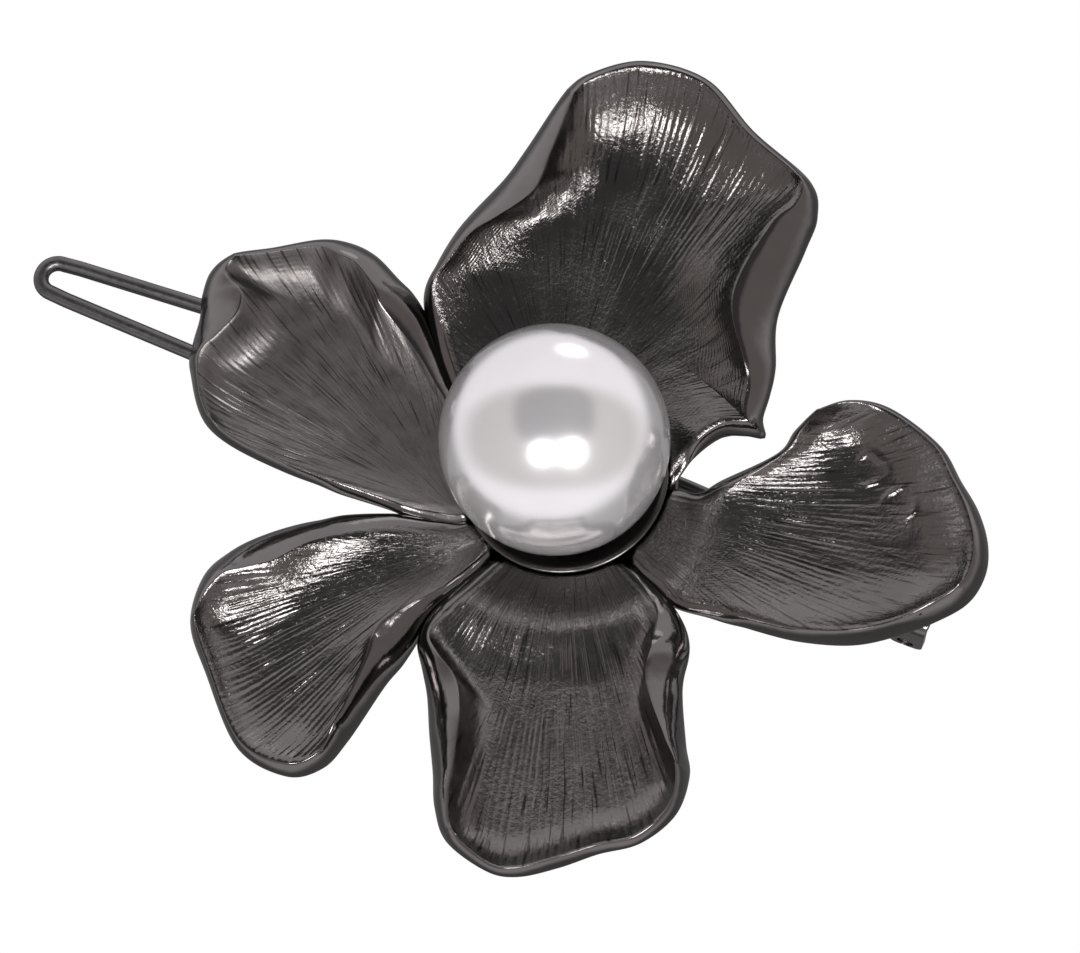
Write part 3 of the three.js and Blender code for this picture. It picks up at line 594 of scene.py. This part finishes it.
def petal_mesh(surface, noise):
    """Points, faces and material numbers of one petal, in flower axes."""
    rows, columns = UNDER_ROWS * DETAIL, UNDER_COLUMNS * DETAIL
    t, s = np.meshgrid(np.linspace(0, 1, rows + 1), np.linspace(0, 1, columns + 1), indexing="ij")
    top = surface.point(s, t)
    away = surface.crest_distance(s, t)
    fan = petal_place(surface.shape, *surface.shape["fan"])
    top_z = surface.height(s, t) + grain(top, away, noise, fan) - crest_round(away)
    if surface.shape["marked"]:
        top_z = top_z + ring_marks(top, surface.shape)
    points = [np.dstack([top, top_z]).reshape(-1, 3)]
    top_index = np.arange(top_z.size).reshape(top_z.shape)
    faces = grid_faces(top_index).reshape(-1, 4).tolist()
    grained = len(faces)

    t, s = np.meshgrid(
        np.linspace(0, 1, UNDER_ROWS + 1), np.linspace(0, 1, UNDER_COLUMNS + 1), indexing="ij"
    )
    zero, one = np.zeros_like(s), np.ones_like(s)
    width = np.linalg.norm(surface.point(zero, t) - surface.point(one, t), axis=-1)
    length = np.linalg.norm(surface.point(s, zero) - surface.point(s, one), axis=-1)
    side = np.minimum(INSET_SHARE, UNDER_INSET / width)
    su, tu = lerp(side, 1 - side, s), t * (1 - UNDER_INSET / length)
    hollow = surface.point(su, tu)
    under_z = surface.height(su, tu) - surface.thickness(np.linalg.norm(hollow, axis=-1))
    points.append(np.dstack([hollow, under_z]).reshape(-1, 3))
    under_index = top_index.size + np.arange(under_z.size).reshape(under_z.shape)
    faces += grid_faces(under_index).reshape(-1, 4).tolist()

    # From the crest a slightly bulging skirt falls to the edge, and a lip turns under it.
    fine = ring_order(rows, columns)
    spots = np.array(fine)
    along = spots[:, 0] / rows
    across = spots[:, 1] / columns
    on_left = np.arange(len(spots)) <= rows
    on_right = np.arange(len(spots)) >= rows + columns
    edge = np.where(
        on_left[:, None], sample(surface.left, along)[:, :3],
        np.where(on_right[:, None], sample(surface.right, along)[:, :3],
                 sample(surface.tip, across)[:, :3]),
    )
    every = np.vstack(points)
    crest = every[top_index[spots[:, 0], spots[:, 1]]]
    reach = (spots / DETAIL).astype(int)
    inner = every[under_index[reach[:, 0], reach[:, 1]]]
    inward = inner[:, :2] - edge[:, :2]
    span = np.linalg.norm(inward, axis=1)[:, None]
    lip = inward * np.minimum(LIP_SHARE, LIP / span)
    rings = [top_index[spots[:, 0], spots[:, 1]]]
    layers = []
    for angle in np.radians(SKIRT_ANGLES):
        flat = lerp(crest[:, :2], edge[:, :2], math.sin(angle) ** (2 / SKIRT_POWER))
        drop = lerp(edge[:, 2], crest[:, 2], max(math.cos(angle), 0) ** (2 / SKIRT_POWER))
        layers.append(np.column_stack([flat, drop]))
    for reached, fallen in (LIP_BEND, (1, 1)):
        low = edge[:, 2] - LIP_ROUND * fallen
        layers.append(np.column_stack([edge[:, :2] + lip * reached, low]))
    start = len(every)
    for layer in layers:
        rings.append(start + np.arange(len(layer)))
        start += len(layer)
    faces += grid_faces(np.array(rings)).reshape(-1, 4).tolist()
    coarse = [under_index[i, j] for i, j in ring_order(UNDER_ROWS, UNDER_COLUMNS)]
    faces += stitch(rings[-1].tolist(), coarse, DETAIL)

    # The root's end closes the sheet.
    faces += stitch(top_index[0].tolist(), under_index[0].tolist(), DETAIL)
    for end, corner in ((0, under_index[0, 0]), (-1, under_index[0, -1])):
        for ring, following in zip(rings[1:], rings[2:]):
            faces.append([ring[end], following[end], rings[0][end]])
        faces.append([rings[-1][end], corner, rings[0][end]])
    points = np.vstack([every, *layers])
    material_index = np.ones(len(faces), int)
    material_index[:grained] = 0
    faces = [[int(v) for v in face] for face in faces]
    return flower_to_part(points), faces, material_index


def underside_lookup(surface):
    """A function giving the height of a petal's upper face over a place in part axes."""
    t, s = np.meshgrid(np.linspace(0, 1, 60), np.linspace(0, 1, 80), indexing="ij")
    places = surface.point(s, t).reshape(-1, 2)
    heights = surface.height(s, t).ravel()

    def look(x, y):
        away = np.linalg.norm(places - part_to_flower(x, y), axis=1)
        return heights[np.argmin(away)]

    return look


def closed_steps(outline, step):
    """A closed outline with its long edges divided into steps."""
    points = []
    for start, end in zip(outline, np.roll(outline, -1, axis=0)):
        count = max(1, math.ceil(np.linalg.norm(end - start) / step))
        points += [lerp(start, end, k / count) for k in range(count)]
    return np.array(points)


def pad_mesh(surface, outline, bottom):
    """A cast pad: from its flat face up through a flare, and closed inside the sheet."""
    look = underside_lookup(surface)
    flat = closed_steps(np.array(outline), PAD_STEP)
    middle = flat.mean(axis=0)
    out = (flat - middle) / np.linalg.norm(flat - middle, axis=1)[:, None]

    def buried(places):
        return np.array([look(x, y) for x, y in places]) - PAD_DEPTH

    layers = []
    for share, grow in ((0, -0.12), (0.12, 0), (0.75, 0.04), (1, 0.15)):
        place = flat + out * grow
        layers.append(np.column_stack([place, lerp(bottom, buried(place), share)]))
    for inward in (0.75, 0.5, 0.25):
        place = middle + (flat - middle) * inward
        layers.append(np.column_stack([place, buried(place)]))
    count = len(flat)
    points = np.vstack(layers)
    index = np.arange(len(points)).reshape(len(layers), count)
    index = np.hstack([index, index[:, :1]])
    faces = grid_faces(index).reshape(-1, 4).tolist()
    faces.append(list(range(count)))
    faces.append([len(points) - count + k for k in range(count)])
    return points, faces


def circle_outline(x, y, radius, count=48):
    angles = 2 * math.pi * np.arange(count) / count
    return [(x + radius * math.cos(a), y + radius * math.sin(a)) for a in angles]


def box_outline(x, half_length, half_width, corner=0.5, steps=5):
    """A rounded rectangle, counter-clockwise."""
    outline = []
    for quarter, (sx, sy) in enumerate(((1, 1), (-1, 1), (-1, -1), (1, -1))):
        for k in range(steps + 1):
            angle = math.pi / 2 * (quarter + k / steps)
            px = x + sx * (half_length - corner) + corner * math.cos(angle)
            py = sy * (half_width - corner) + corner * math.sin(angle)
            outline.append((px, py))
    return outline


def build_petal(name, shape, number, materials):
    surface = PetalSurface(shape)
    points, faces, index = petal_mesh(surface, Noise(100 + number))
    pads = {
        "petal_upper_left": (circle_outline(CATCH_X, 0, CATCH_PAD_RADIUS), CATCH_PAD_BOTTOM),
        "petal_right": (
            box_outline(HINGE_X, HINGE_PAD_HALF_LENGTH, HINGE_PAD_HALF_WIDTH),
            HINGE_PAD_BOTTOM,
        ),
    }
    if name in pads:
        pad_points, pad_faces = pad_mesh(surface, *pads[name])
        start = len(points)
        points = np.vstack([points, pad_points])
        faces += [[v + start for v in face] for face in pad_faces]
        index = np.concatenate([index, np.ones(len(pad_faces), int)])
    piece = make_mesh(name + "_casting", points, faces, index, sharp=85)
    return dress(piece, "flower", "gunmetal_cast", name, *materials)


# ---- turned pieces ----------------------------------------------------------------------


def arc(radius, centre, start, end, steps):
    angles = np.radians(np.linspace(start, end, steps + 1))
    return [(radius * math.cos(a), centre + radius * math.sin(a)) for a in angles]


def build_base(metal):
    profile = rounded([
        (0, 0), (BASE_RADIUS, 0), (BASE_RADIUS, BASE_TOP), (0, BASE_TOP),
    ], 0.2)
    piece = make_mesh("flower_base_disc", *lathe(profile, 128))
    return dress(piece, "flower", "gunmetal_stamped", "flower_base", metal)


def build_cup(metal):
    profile = rounded([
        (0, PART_BOTTOM), (CUP_FOOT, PART_BOTTOM), (CUP_RIM - 0.05, 2.8),
        (CUP_RIM, CUP_RIM_TOP), (CUP_RIM - 0.45, CUP_RIM_TOP - 0.05),
        (CUP_FLOOR_RADIUS + 1.2, CUP_FLOOR + 0.3), (CUP_FLOOR_RADIUS, CUP_FLOOR),
        (0, CUP_FLOOR),
    ], 0.18)
    piece = make_mesh("pearl_cup_dish", *lathe(profile, 160))
    return dress(piece, "flower", "gunmetal_stamped", "pearl_cup", metal)


def build_post(metal):
    profile = rounded([
        (0, POST_BOTTOM), (POST_RADIUS, POST_BOTTOM), (POST_RADIUS, POST_TOP), (0, POST_TOP),
    ], 0.25)
    piece = make_mesh("pearl_post_peg", *lathe(profile, 48))
    return dress(piece, "flower", "gunmetal_stamped", "pearl_post", metal)


def build_pearl(nacre):
    mouth = math.degrees(math.asin(PEARL_DRILL / PEARL_RADIUS)) - 90
    outside = arc(PEARL_RADIUS, PEARL_CENTRE, mouth, 90, 120)
    outside[-1] = (0, PEARL_CENTRE + PEARL_RADIUS)
    drill = rounded([(0, PEARL_DRILL_TOP), (PEARL_DRILL, PEARL_DRILL_TOP), outside[0]], 0.1)
    piece = make_mesh("pearl_bead", *lathe(drill + outside[1:], 192))
    return dress(piece, "flower", "pearl", "pearl", nacre)


def build_catch(metal):
    foot_bottom = CATCH_FOOT_TOP - CATCH_FOOT_HEIGHT
    shoulder = math.degrees(math.acos(CATCH_NECK / CATCH_BALL))
    head = arc(CATCH_BALL, CATCH_BALL_Z, -90, shoulder, 40)
    head[0] = (0, CATCH_BALL_Z - CATCH_BALL)
    stem = rounded([
        head[-1], (CATCH_NECK, foot_bottom - CATCH_FLARE),
        (CATCH_NECK + CATCH_FLARE, foot_bottom), (CATCH_FOOT, foot_bottom),
        (CATCH_FOOT, CATCH_FOOT_TOP), (0, CATCH_FOOT_TOP),
    ], 0.15)
    piece = make_mesh("catch_stud_ball", *lathe(head[:-1] + stem, 64, (CATCH_X, 0)))
    return dress(piece, "flower", "gunmetal_stamped", "catch_stud", metal)


# ---- hinge bracket ----------------------------------------------------------------------


def bracket_section():
    """The bent strip's middle line, as (y, z) from one ear's end to the other's."""
    y = EAR_INNER + EAR_THICKNESS / 2
    top = BRACKET_TOP - EAR_THICKNESS / 2
    low = HINGE_Z - EAR_BOTTOM
    ear = [(y, z) for z in np.linspace(low, top - 0.8, 24)]
    bend = [(y - 0.6 + 0.6 * math.cos(a), top - 0.6 + 0.6 * math.sin(a))
            for a in np.linspace(0, math.pi / 2, 9)]
    half = ear + bend
    return half + [(-py, pz) for py, pz in reversed(half)]


def ear_half_length(z):
    """Half the strip's length along X: tapered down the ear, with round corners."""
    low = HINGE_Z - EAR_BOTTOM
    half = lerp(EAR_HALF_BOTTOM, EAR_HALF_TOP, (z - low) / (BRACKET_TOP - low))
    short = max(0.0, EAR_CORNER - (z - low))
    return half - EAR_CORNER + math.sqrt(max(EAR_CORNER**2 - short**2, 0.0))


def bracket_strip():
    """The closed bent strip as points and faces."""
    line = [Vector(p) for p in bracket_section()]
    columns = 8
    points = []
    for k, place in enumerate(line):
        ahead = line[min(k + 1, len(line) - 1)] - line[max(k - 1, 0)]
        out = Vector((ahead.y, -ahead.x)).normalized() * EAR_THICKNESS / 2
        half = ear_half_length(place.y)
        for face in (place + out, place - out):
            points += [(HINGE_X + lerp(-half, half, c / columns), *face) for c in range(columns + 1)]
    index = np.arange(len(points)).reshape(len(line), 2, columns + 1)
    shell = [index[:, 0], index[:, 1]]
    shell += [index[:, :, 0], index[:, :, -1], index[0], index[-1]]
    faces = []
    for grid in shell:
        faces += grid_faces(grid).reshape(-1, 4).tolist()
    return points, faces


def build_bracket(metal):
    strip = make_mesh("hinge_bracket_strip", *bracket_strip())
    drill = make_mesh("drill", *lathe([(0, -6), (HINGE_HOLE, -6), (HINGE_HOLE, 6), (0, 6)], 40, (0, 0)))
    turn = Matrix.Translation((HINGE_X * MM, 0, HINGE_Z * MM)) @ Matrix.Rotation(math.pi / 2, 4, "X")
    drill.data.transform(turn)
    cut = strip.modifiers.new("hole", "BOOLEAN")
    cut.operation = "DIFFERENCE"
    cut.solver = "EXACT"
    cut.object = drill
    ease = strip.modifiers.new("ease", "BEVEL")
    ease.width = 0.07 * MM
    ease.segments = 2
    ease.angle_limit = math.radians(50)
    depsgraph = bpy.context.evaluated_depsgraph_get()
    mesh = bpy.data.meshes.new_from_object(strip.evaluated_get(depsgraph))
    strip.modifiers.clear()
    strip.data = mesh
    mesh.shade_smooth()
    mesh.set_sharp_from_angle(angle=math.radians(38))
    bpy.data.objects.remove(drill)
    return dress(strip, "flower", "gunmetal_stamped", "hinge_bracket", metal)


# ---- wire loop --------------------------------------------------------------------------


def leg_half_width(x):
    return float(np.interp(x, *zip(*LEG_WIDTHS)))


def leg_height(x):
    return -ARCH_FALL * max(x - ARCH_X, 0) ** 2


def bend(before, corner, after, radius, steps=14):
    """Points around a bend at the corner between two straight stretches."""
    back, ahead = (before - corner).normalized(), (after - corner).normalized()
    half = back.angle(ahead) / 2
    centre = corner + (back + ahead).normalized() * radius / math.sin(half)
    start = corner + back * radius / math.tan(half) - centre
    axis = start.cross(corner - centre).normalized()
    sweep = math.pi - 2 * half
    return [centre + Matrix.Rotation(sweep * k / steps, 3, axis) @ start for k in range(steps + 1)]


def leg_points(side):
    knee = Vector((KNEE_X, side * leg_half_width(KNEE_X), leg_height(KNEE_X)))
    hinge = Vector((HINGE_X, side * leg_half_width(HINGE_X), HINGE_Z))
    end = Vector((HINGE_X, side * END_Y, HINGE_Z))
    stretch = np.arange(KNEE_X - 2, TIP_X + 2 * TIP_HALF, -1.0)
    arch = [Vector((x, side * leg_half_width(x), leg_height(x))) for x in stretch]
    return [end, *bend(end, hinge, knee, END_BEND), *bend(hinge, knee, arch[0], KNEE_BEND), *arch]


def loop_points():
    tip = []
    for angle in np.linspace(math.pi / 2, 3 * math.pi / 2, 25):
        x = TIP_X + TIP_HALF + TIP_HALF * math.cos(angle)
        tip.append(Vector((x, TIP_HALF * math.sin(angle), leg_height(x))))
    return [*leg_points(1), *tip, *reversed(leg_points(-1))]


def wire_mesh(line, radius, sides):
    """A round wire along the line, with its cut ends eased."""
    first = line[0] + (line[1] - line[0]).normalized() * WIRE_EASE
    last = line[-1] + (line[-2] - line[-1]).normalized() * WIRE_EASE
    line = [line[0], first, *line[1:-1], last, line[-1]]
    shares = [WIRE_END_SHARE, *[1.0] * (len(line) - 2), WIRE_END_SHARE]
    normal = Vector((0, 0, 1))
    points = []
    for k, place in enumerate(line):
        ahead = (line[min(k + 1, len(line) - 1)] - line[max(k - 1, 0)]).normalized()
        normal = (normal - ahead * normal.dot(ahead)).normalized()
        other = ahead.cross(normal)
        for n in range(sides):
            angle = 2 * math.pi * n / sides
            reach = normal * math.cos(angle) + other * math.sin(angle)
            points.append(place + reach * radius * shares[k])
    index = np.arange(len(points)).reshape(len(line), sides)
    index = np.hstack([index, index[:, :1]])
    faces = grid_faces(index).reshape(-1, 4).tolist()
    faces.append(index[0, :-1].tolist())
    faces.append(index[-1, :-1].tolist())
    return points, faces


def build_loop(metal):
    piece = make_mesh("wire_loop_spring", *wire_mesh(loop_points(), WIRE_RADIUS, 28))
    return dress(piece, "loop", "wire", "wire_loop", metal)


# ---- materials --------------------------------------------------------------------------

GUNMETAL = [(0.14, 0.131, 0.128), (0.175, 0.164, 0.162)]
# Painted shade: the darker colour given to the score lines stands for the shade in their grooves.
GROOVE_PAINTED_SHADE = (0.065, 0.057, 0.054)


def add_node(tree, kind, inputs=None, **settings):
    """Adds a shader node; inputs are values or the sockets of other nodes."""
    made = tree.nodes.new(kind)
    for key, value in settings.items():
        setattr(made, key, value)
    for key, value in (inputs or {}).items():
        if isinstance(value, bpy.types.NodeSocket):
            tree.links.new(value, made.inputs[key])
        else:
            made.inputs[key].default_value = value
    return made


def math_node(tree, operation, *values):
    inputs = dict(enumerate(values))
    return add_node(tree, "ShaderNodeMath", inputs, operation=operation).outputs[0]


def new_material(name):
    """A material with an empty tree, and that tree."""
    material = bpy.data.materials.new(name)
    material.use_nodes = True
    material.node_tree.nodes.clear()
    return material, material.node_tree


def surface_shader(tree, inputs):
    shader = add_node(tree, "ShaderNodeBsdfPrincipled", inputs)
    add_node(tree, "ShaderNodeOutputMaterial", {"Surface": shader.outputs[0]})
    return shader


def millimetres(tree):
    """Places on the object in millimetres."""
    places = add_node(tree, "ShaderNodeTexCoord").outputs["Object"]
    inputs = {0: places, "Scale": 1 / MM}
    return add_node(tree, "ShaderNodeVectorMath", inputs, operation="SCALE").outputs[0]


def polar(tree, places, centre, turns, outward):
    """Places as (angle x turns, distance x outward) about an upright axis."""
    inputs = {0: places, 1: (*centre, 0)}
    moved = add_node(tree, "ShaderNodeVectorMath", inputs, operation="SUBTRACT").outputs[0]
    parts = add_node(tree, "ShaderNodeSeparateXYZ", {0: moved}).outputs
    angle = math_node(tree, "ARCTAN2", parts[1], parts[0])
    flat = add_node(tree, "ShaderNodeCombineXYZ", {0: parts[0], 1: parts[1]}).outputs[0]
    length = add_node(tree, "ShaderNodeVectorMath", {0: flat}, operation="LENGTH").outputs[1]
    around = math_node(tree, "MULTIPLY", angle, turns)
    away = math_node(tree, "MULTIPLY", length, outward)
    return add_node(tree, "ShaderNodeCombineXYZ", {0: around, 1: away}).outputs[0]


def noise(tree, places, scale, detail=3.0, roughness=0.5):
    inputs = {"Vector": places, "Scale": scale, "Detail": detail, "Roughness": roughness}
    return add_node(tree, "ShaderNodeTexNoise", inputs).outputs[0]


def between(tree, value, low, high, start=0.0, end=1.0):
    """Maps value from start..end to low..high."""
    inputs = {0: value, 1: start, 2: end, 3: low, 4: high}
    return add_node(tree, "ShaderNodeMapRange", inputs).outputs[0]


def tint(tree, value, dark, light, start=0.3, end=0.7):
    """A colour between dark and light as value goes from start to end."""
    ramp = add_node(tree, "ShaderNodeValToRGB", {0: value})
    first, last = ramp.color_ramp.elements
    first.position, last.position = start, end
    first.color, last.color = (*dark, 1), (*light, 1)
    return ramp.outputs[0]


def bump(tree, height, distance, strength=1.0, normal=None):
    inputs = {"Height": height, "Distance": distance * MM, "Strength": strength}
    if normal is not None:
        inputs["Normal"] = normal
    return add_node(tree, "ShaderNodeBump", inputs).outputs[0]


def mix_colours(tree, share, first, second):
    inputs = {0: share, 6: first, 7: second}
    return add_node(tree, "ShaderNodeMix", inputs, data_type="RGBA").outputs[2]


def grained_gunmetal(name, shape):
    """Black nickel over an engraved casting: score lines with dark grooves, whose darker colour is
    painted shade, and a sandy grain.
    """
    material, tree = new_material(name)
    places = millimetres(tree)
    x, y = petal_place(shape, *shape["fan"])
    centre = flower_to_part([(x, y, 0)])[0, :2]
    lines = noise(tree, polar(tree, places, centre, 72, 1.0), 1.0, 2.0, 0.6)
    scores = noise(tree, polar(tree, places, centre, 78, 0.2), 1.0, 2.0, 0.6)
    sand = noise(tree, places, 3.2, 3.0, 0.65)
    patches = noise(tree, places, 0.22, 3.0)
    sandy = math_node(tree, "MULTIPLY", sand, between(tree, patches, 0.5, 1.3, 0.4, 0.62))
    # Painted light and shade: each petal's metal colour is scaled lighter or darker for how the light
    # falls on it.
    darker, lighter = (tuple(shape["painted_light_tone"] * v for v in colour) for colour in GUNMETAL)
    metal = tint(tree, patches, darker, lighter)
    # Painted shade: this mask darkens the metal along the score lines, for the shade in their grooves.
    score_painted_shade = between(tree, scores, 1.0, 0.0, 0.33, 0.43)
    normal = bump(tree, lines, 0.03, 1.0)
    normal = bump(tree, sandy, shape["sand"], 1.0, normal)
    surface_shader(tree, {
        "Base Color": mix_colours(tree, score_painted_shade, metal, (*GROOVE_PAINTED_SHADE, 1)),
        "Metallic": 1.0,
        "Roughness": between(tree, noise(tree, places, 0.8, 4.0), *shape["roughness"], 0.35, 0.65),
        "Normal": normal,
    })
    return material


def polished_gunmetal(name, low=0.06, high=0.13):
    """Black nickel over smooth metal, with faint casting waves and rubbed patches."""
    material, tree = new_material(name)
    places = millimetres(tree)
    waves = noise(tree, places, 0.5, 2.0)
    pits = noise(tree, places, 7.0, 2.0, 0.6)
    rubbed = noise(tree, places, 0.3, 3.0)
    normal = bump(tree, waves, 0.08, 0.6)
    normal = bump(tree, pits, 0.004, 1.0, normal)
    surface_shader(tree, {
        "Base Color": tint(tree, rubbed, (0.142, 0.132, 0.13), (0.165, 0.155, 0.153)),
        "Metallic": 1.0,
        "Roughness": between(tree, noise(tree, places, 1.6, 4.0), low, high, 0.3, 0.7),
        "Normal": normal,
    })
    return material


def satin_wire():
    """Drawn spring wire under black nickel: lengthwise drawing marks and a satin sheen."""
    material, tree = new_material("wire_satin")
    places = millimetres(tree)
    stretch = {0: places, 1: (0.5, 9.0, 9.0)}
    drawn = add_node(tree, "ShaderNodeVectorMath", stretch, operation="MULTIPLY").outputs[0]
    marks = noise(tree, drawn, 1.0, 3.0, 0.6)
    surface_shader(tree, {
        "Base Color": tint(tree, marks, (0.11, 0.108, 0.11), (0.15, 0.148, 0.15)),
        "Metallic": 1.0,
        "Roughness": between(tree, noise(tree, places, 2.0), 0.26, 0.4, 0.3, 0.7),
        "Normal": bump(tree, marks, 0.006),
    })
    return material


def pearl_nacre():
    """Pearl lacquer: a soft milky body under a clear, faintly iridescent skin."""
    material, tree = new_material("pearl_nacre")
    places = millimetres(tree)
    cloud = noise(tree, places, 0.16, 3.0)
    surface_shader(tree, {
        "Base Color": tint(tree, cloud, (0.755, 0.742, 0.76), (0.815, 0.8, 0.81)),
        "Metallic": 0.68,
        "Roughness": between(tree, cloud, 0.18, 0.2, 0.3, 0.7),
        "Coat Weight": 0.45,
        "Coat Roughness": 0.06,
        "Coat IOR": 1.5,
        "Normal": bump(tree, noise(tree, places, 0.9, 2.0), 0.01, 0.5),
    })
    return material


# ---- studio -----------------------------------------------------------------------------

# The tent's dim zones and its glow, given as their image on a mirror ball: centre and reach
# are (right, up) as shares of its radius, and power squares off the oval's shoulders.
STUDIO_BRIGHT = (1.0, 0.975, 1.0)
STUDIO_ZONES = [
    {
        "colour": (0.52, 0.49, 0.475), "centre": (-0.01, 0.02), "reach": (0.77, 0.45),
        "power": 2.4, "edge": (0.84, 1.12),
    },
    {
        "colour": (0.17, 0.16, 0.168), "centre": (0.0, 0.21), "reach": (0.36, 0.25),
        "power": 3.0, "edge": (0.8, 1.12),
    },
    {
        "colour": (1.1, 1.08, 1.1), "centre": (0.017, -0.11), "reach": (0.25, 0.14),
        "power": 2.2, "edge": (0.45, 1.2),
    },
]
# Below this height of sightline the room under the clip is dim: sines from dark to lit.
UNDER_DIM = (0.24, 0.233, 0.236)
UNDER_EDGE = (-0.5, -0.16)
FLOOR_Z = -75.0
FLOOR_SIZE = 6.0


def add_camera():
    """A long lens looking down on the clip from a little to the front and right."""
    data = bpy.data.cameras.new("camera")
    data.sensor_width = SENSOR_WIDTH
    data.lens = SENSOR_WIDTH * VIEW_DISTANCE / VIEW_WIDTH
    camera = bpy.data.objects.new("camera", data)
    bpy.context.scene.collection.objects.link(camera)
    target = Vector((*FLOWER_CENTRE, 0)) + VIEW_RIGHT * VIEW_SHIFT[0] + VIEW_UP * VIEW_SHIFT[1]
    turn = Matrix((VIEW_RIGHT, VIEW_UP, VIEW_BACK)).transposed()
    place = Matrix.Translation((target + VIEW_BACK * VIEW_DISTANCE) * MM)
    camera.matrix_world = place @ turn.to_4x4()
    data.clip_start = 0.05
    data.clip_end = 20.0
    bpy.context.scene.camera = camera


def zone_share(tree, facing, centre, reach, power, edge):
    """0 inside one of the tent's zones and 1 outside it."""
    terms = []
    for axis, middle, size in zip((VIEW_RIGHT, VIEW_UP), centre, reach):
        inputs = {0: facing, 1: axis / size}
        share = add_node(tree, "ShaderNodeVectorMath", inputs, operation="DOT_PRODUCT").outputs[1]
        away = math_node(tree, "ABSOLUTE", math_node(tree, "SUBTRACT", share, middle / size))
        terms.append(math_node(tree, "POWER", away, power))
    oval = math_node(tree, "POWER", math_node(tree, "ADD", *terms), 1 / power)
    inputs = {0: oval, 1: edge[0], 2: edge[1]}
    return add_node(tree, "ShaderNodeMapRange", inputs, interpolation_type="SMOOTHSTEP").outputs[0]


def add_world():
    """A white tent with a dim opening that the clip is seen through."""
    world = bpy.data.worlds.new("studio")
    bpy.context.scene.world = world
    world.use_nodes = True
    tree = world.node_tree
    tree.nodes.clear()
    direction = add_node(tree, "ShaderNodeTexCoord").outputs["Generated"]
    inputs = {0: direction, 1: VIEW_BACK}
    halfway = add_node(tree, "ShaderNodeVectorMath", inputs, operation="ADD").outputs[0]
    facing = add_node(tree, "ShaderNodeVectorMath", {0: halfway}, operation="NORMALIZE").outputs[0]
    colour = (*STUDIO_BRIGHT, 1)
    for zone in STUDIO_ZONES:
        shape = [zone[key] for key in ("centre", "reach", "power", "edge")]
        colour = mix_colours(tree, zone_share(tree, facing, *shape), (*zone["colour"], 1), colour)
    upward = add_node(tree, "ShaderNodeSeparateXYZ", {0: direction}).outputs[2]
    inputs = {0: upward, 1: UNDER_EDGE[0], 2: UNDER_EDGE[1]}
    lit = add_node(tree, "ShaderNodeMapRange", inputs, interpolation_type="SMOOTHSTEP").outputs[0]
    colour = mix_colours(tree, lit, (*UNDER_DIM, 1), colour)
    tent = add_node(tree, "ShaderNodeBackground", {"Color": colour, "Strength": 1.0})
    white = add_node(tree, "ShaderNodeBackground", {"Color": (1, 1, 1, 1), "Strength": 1.0})
    seen = add_node(tree, "ShaderNodeLightPath").outputs["Is Camera Ray"]
    mixed = add_node(tree, "ShaderNodeMixShader", {0: seen, 1: tent.outputs[0], 2: white.outputs[0]})
    add_node(tree, "ShaderNodeOutputWorld", {"Surface": mixed.outputs[0]})


def add_floor():
    """A plain white table top, low enough to leave room for the opened loop."""
    half = FLOOR_SIZE / 2 / MM
    signs = [(-1, -1), (1, -1), (1, 1), (-1, 1)]
    corners = [(x * half, y * half, FLOOR_Z) for x, y in signs]
    floor = make_mesh("floor", corners, [[0, 1, 2, 3]])
    material, tree = new_material("floor_white")
    glow = add_node(tree, "ShaderNodeEmission", {"Color": (1, 1, 1, 1), "Strength": 1.0})
    add_node(tree, "ShaderNodeOutputMaterial", {"Surface": glow.outputs[0]})
    floor.data.materials.append(material)
    floor.visible_glossy = False
    floor.visible_diffuse = False
    floor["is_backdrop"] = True


def add_lamp(name, mirror, distance, size, power):
    """An area light whose image on a mirror ball sits at (right, up) of its radius."""
    right, up = mirror
    normal = VIEW_RIGHT * right + VIEW_UP * up
    normal += VIEW_BACK * math.sqrt(1 - normal.length_squared)
    direction = 2 * normal.dot(VIEW_BACK) * normal - VIEW_BACK
    data = bpy.data.lights.new(name, "AREA")
    data.shape = "DISK"
    data.size = size * MM
    data.energy = power
    lamp = bpy.data.objects.new(name, data)
    bpy.context.scene.collection.objects.link(lamp)
    lamp.location = direction * distance * MM
    lamp.rotation_euler = direction.to_track_quat("Z", "Y").to_euler()
    lamp.visible_camera = False


def add_studio():
    add_world()
    add_floor()
    add_lamp("lamp_left", (-0.116, -0.117), 600, 170, 1.3)
    add_lamp("lamp_right", (0.149, -0.103), 600, 190, 1.7)
    add_lamp("window", (0.142, 0.76), 600, 220, 0.1)
    settings = bpy.context.scene.view_settings
    settings.view_transform = "Standard"
    settings.look = "None"


# ---- build ------------------------------------------------------------------------------

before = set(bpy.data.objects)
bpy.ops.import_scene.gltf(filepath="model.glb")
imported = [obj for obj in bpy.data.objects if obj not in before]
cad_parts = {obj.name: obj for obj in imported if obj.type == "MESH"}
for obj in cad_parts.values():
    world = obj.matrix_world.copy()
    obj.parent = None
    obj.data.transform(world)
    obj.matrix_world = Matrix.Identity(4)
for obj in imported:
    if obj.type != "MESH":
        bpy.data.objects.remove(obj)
cad_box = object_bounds()
add_camera()
add_studio()

polished = polished_gunmetal("gunmetal_polished")
stamped = polished_gunmetal("gunmetal_stamped", 0.14, 0.22)
for number, (petal_name, petal_shape) in enumerate(PETALS.items()):
    grained = grained_gunmetal(petal_name + "_grain", petal_shape)
    build_petal(petal_name, petal_shape, number, (grained, polished))
build_base(stamped)
build_cup(stamped)
build_post(stamped)
build_pearl(pearl_nacre())
build_catch(stamped)
build_bracket(stamped)
build_loop(satin_wire())

boxes = {"cad": cad_box, "visual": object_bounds()}
{name: [list(corner) for corner in box] for name, box in boxes.items()}
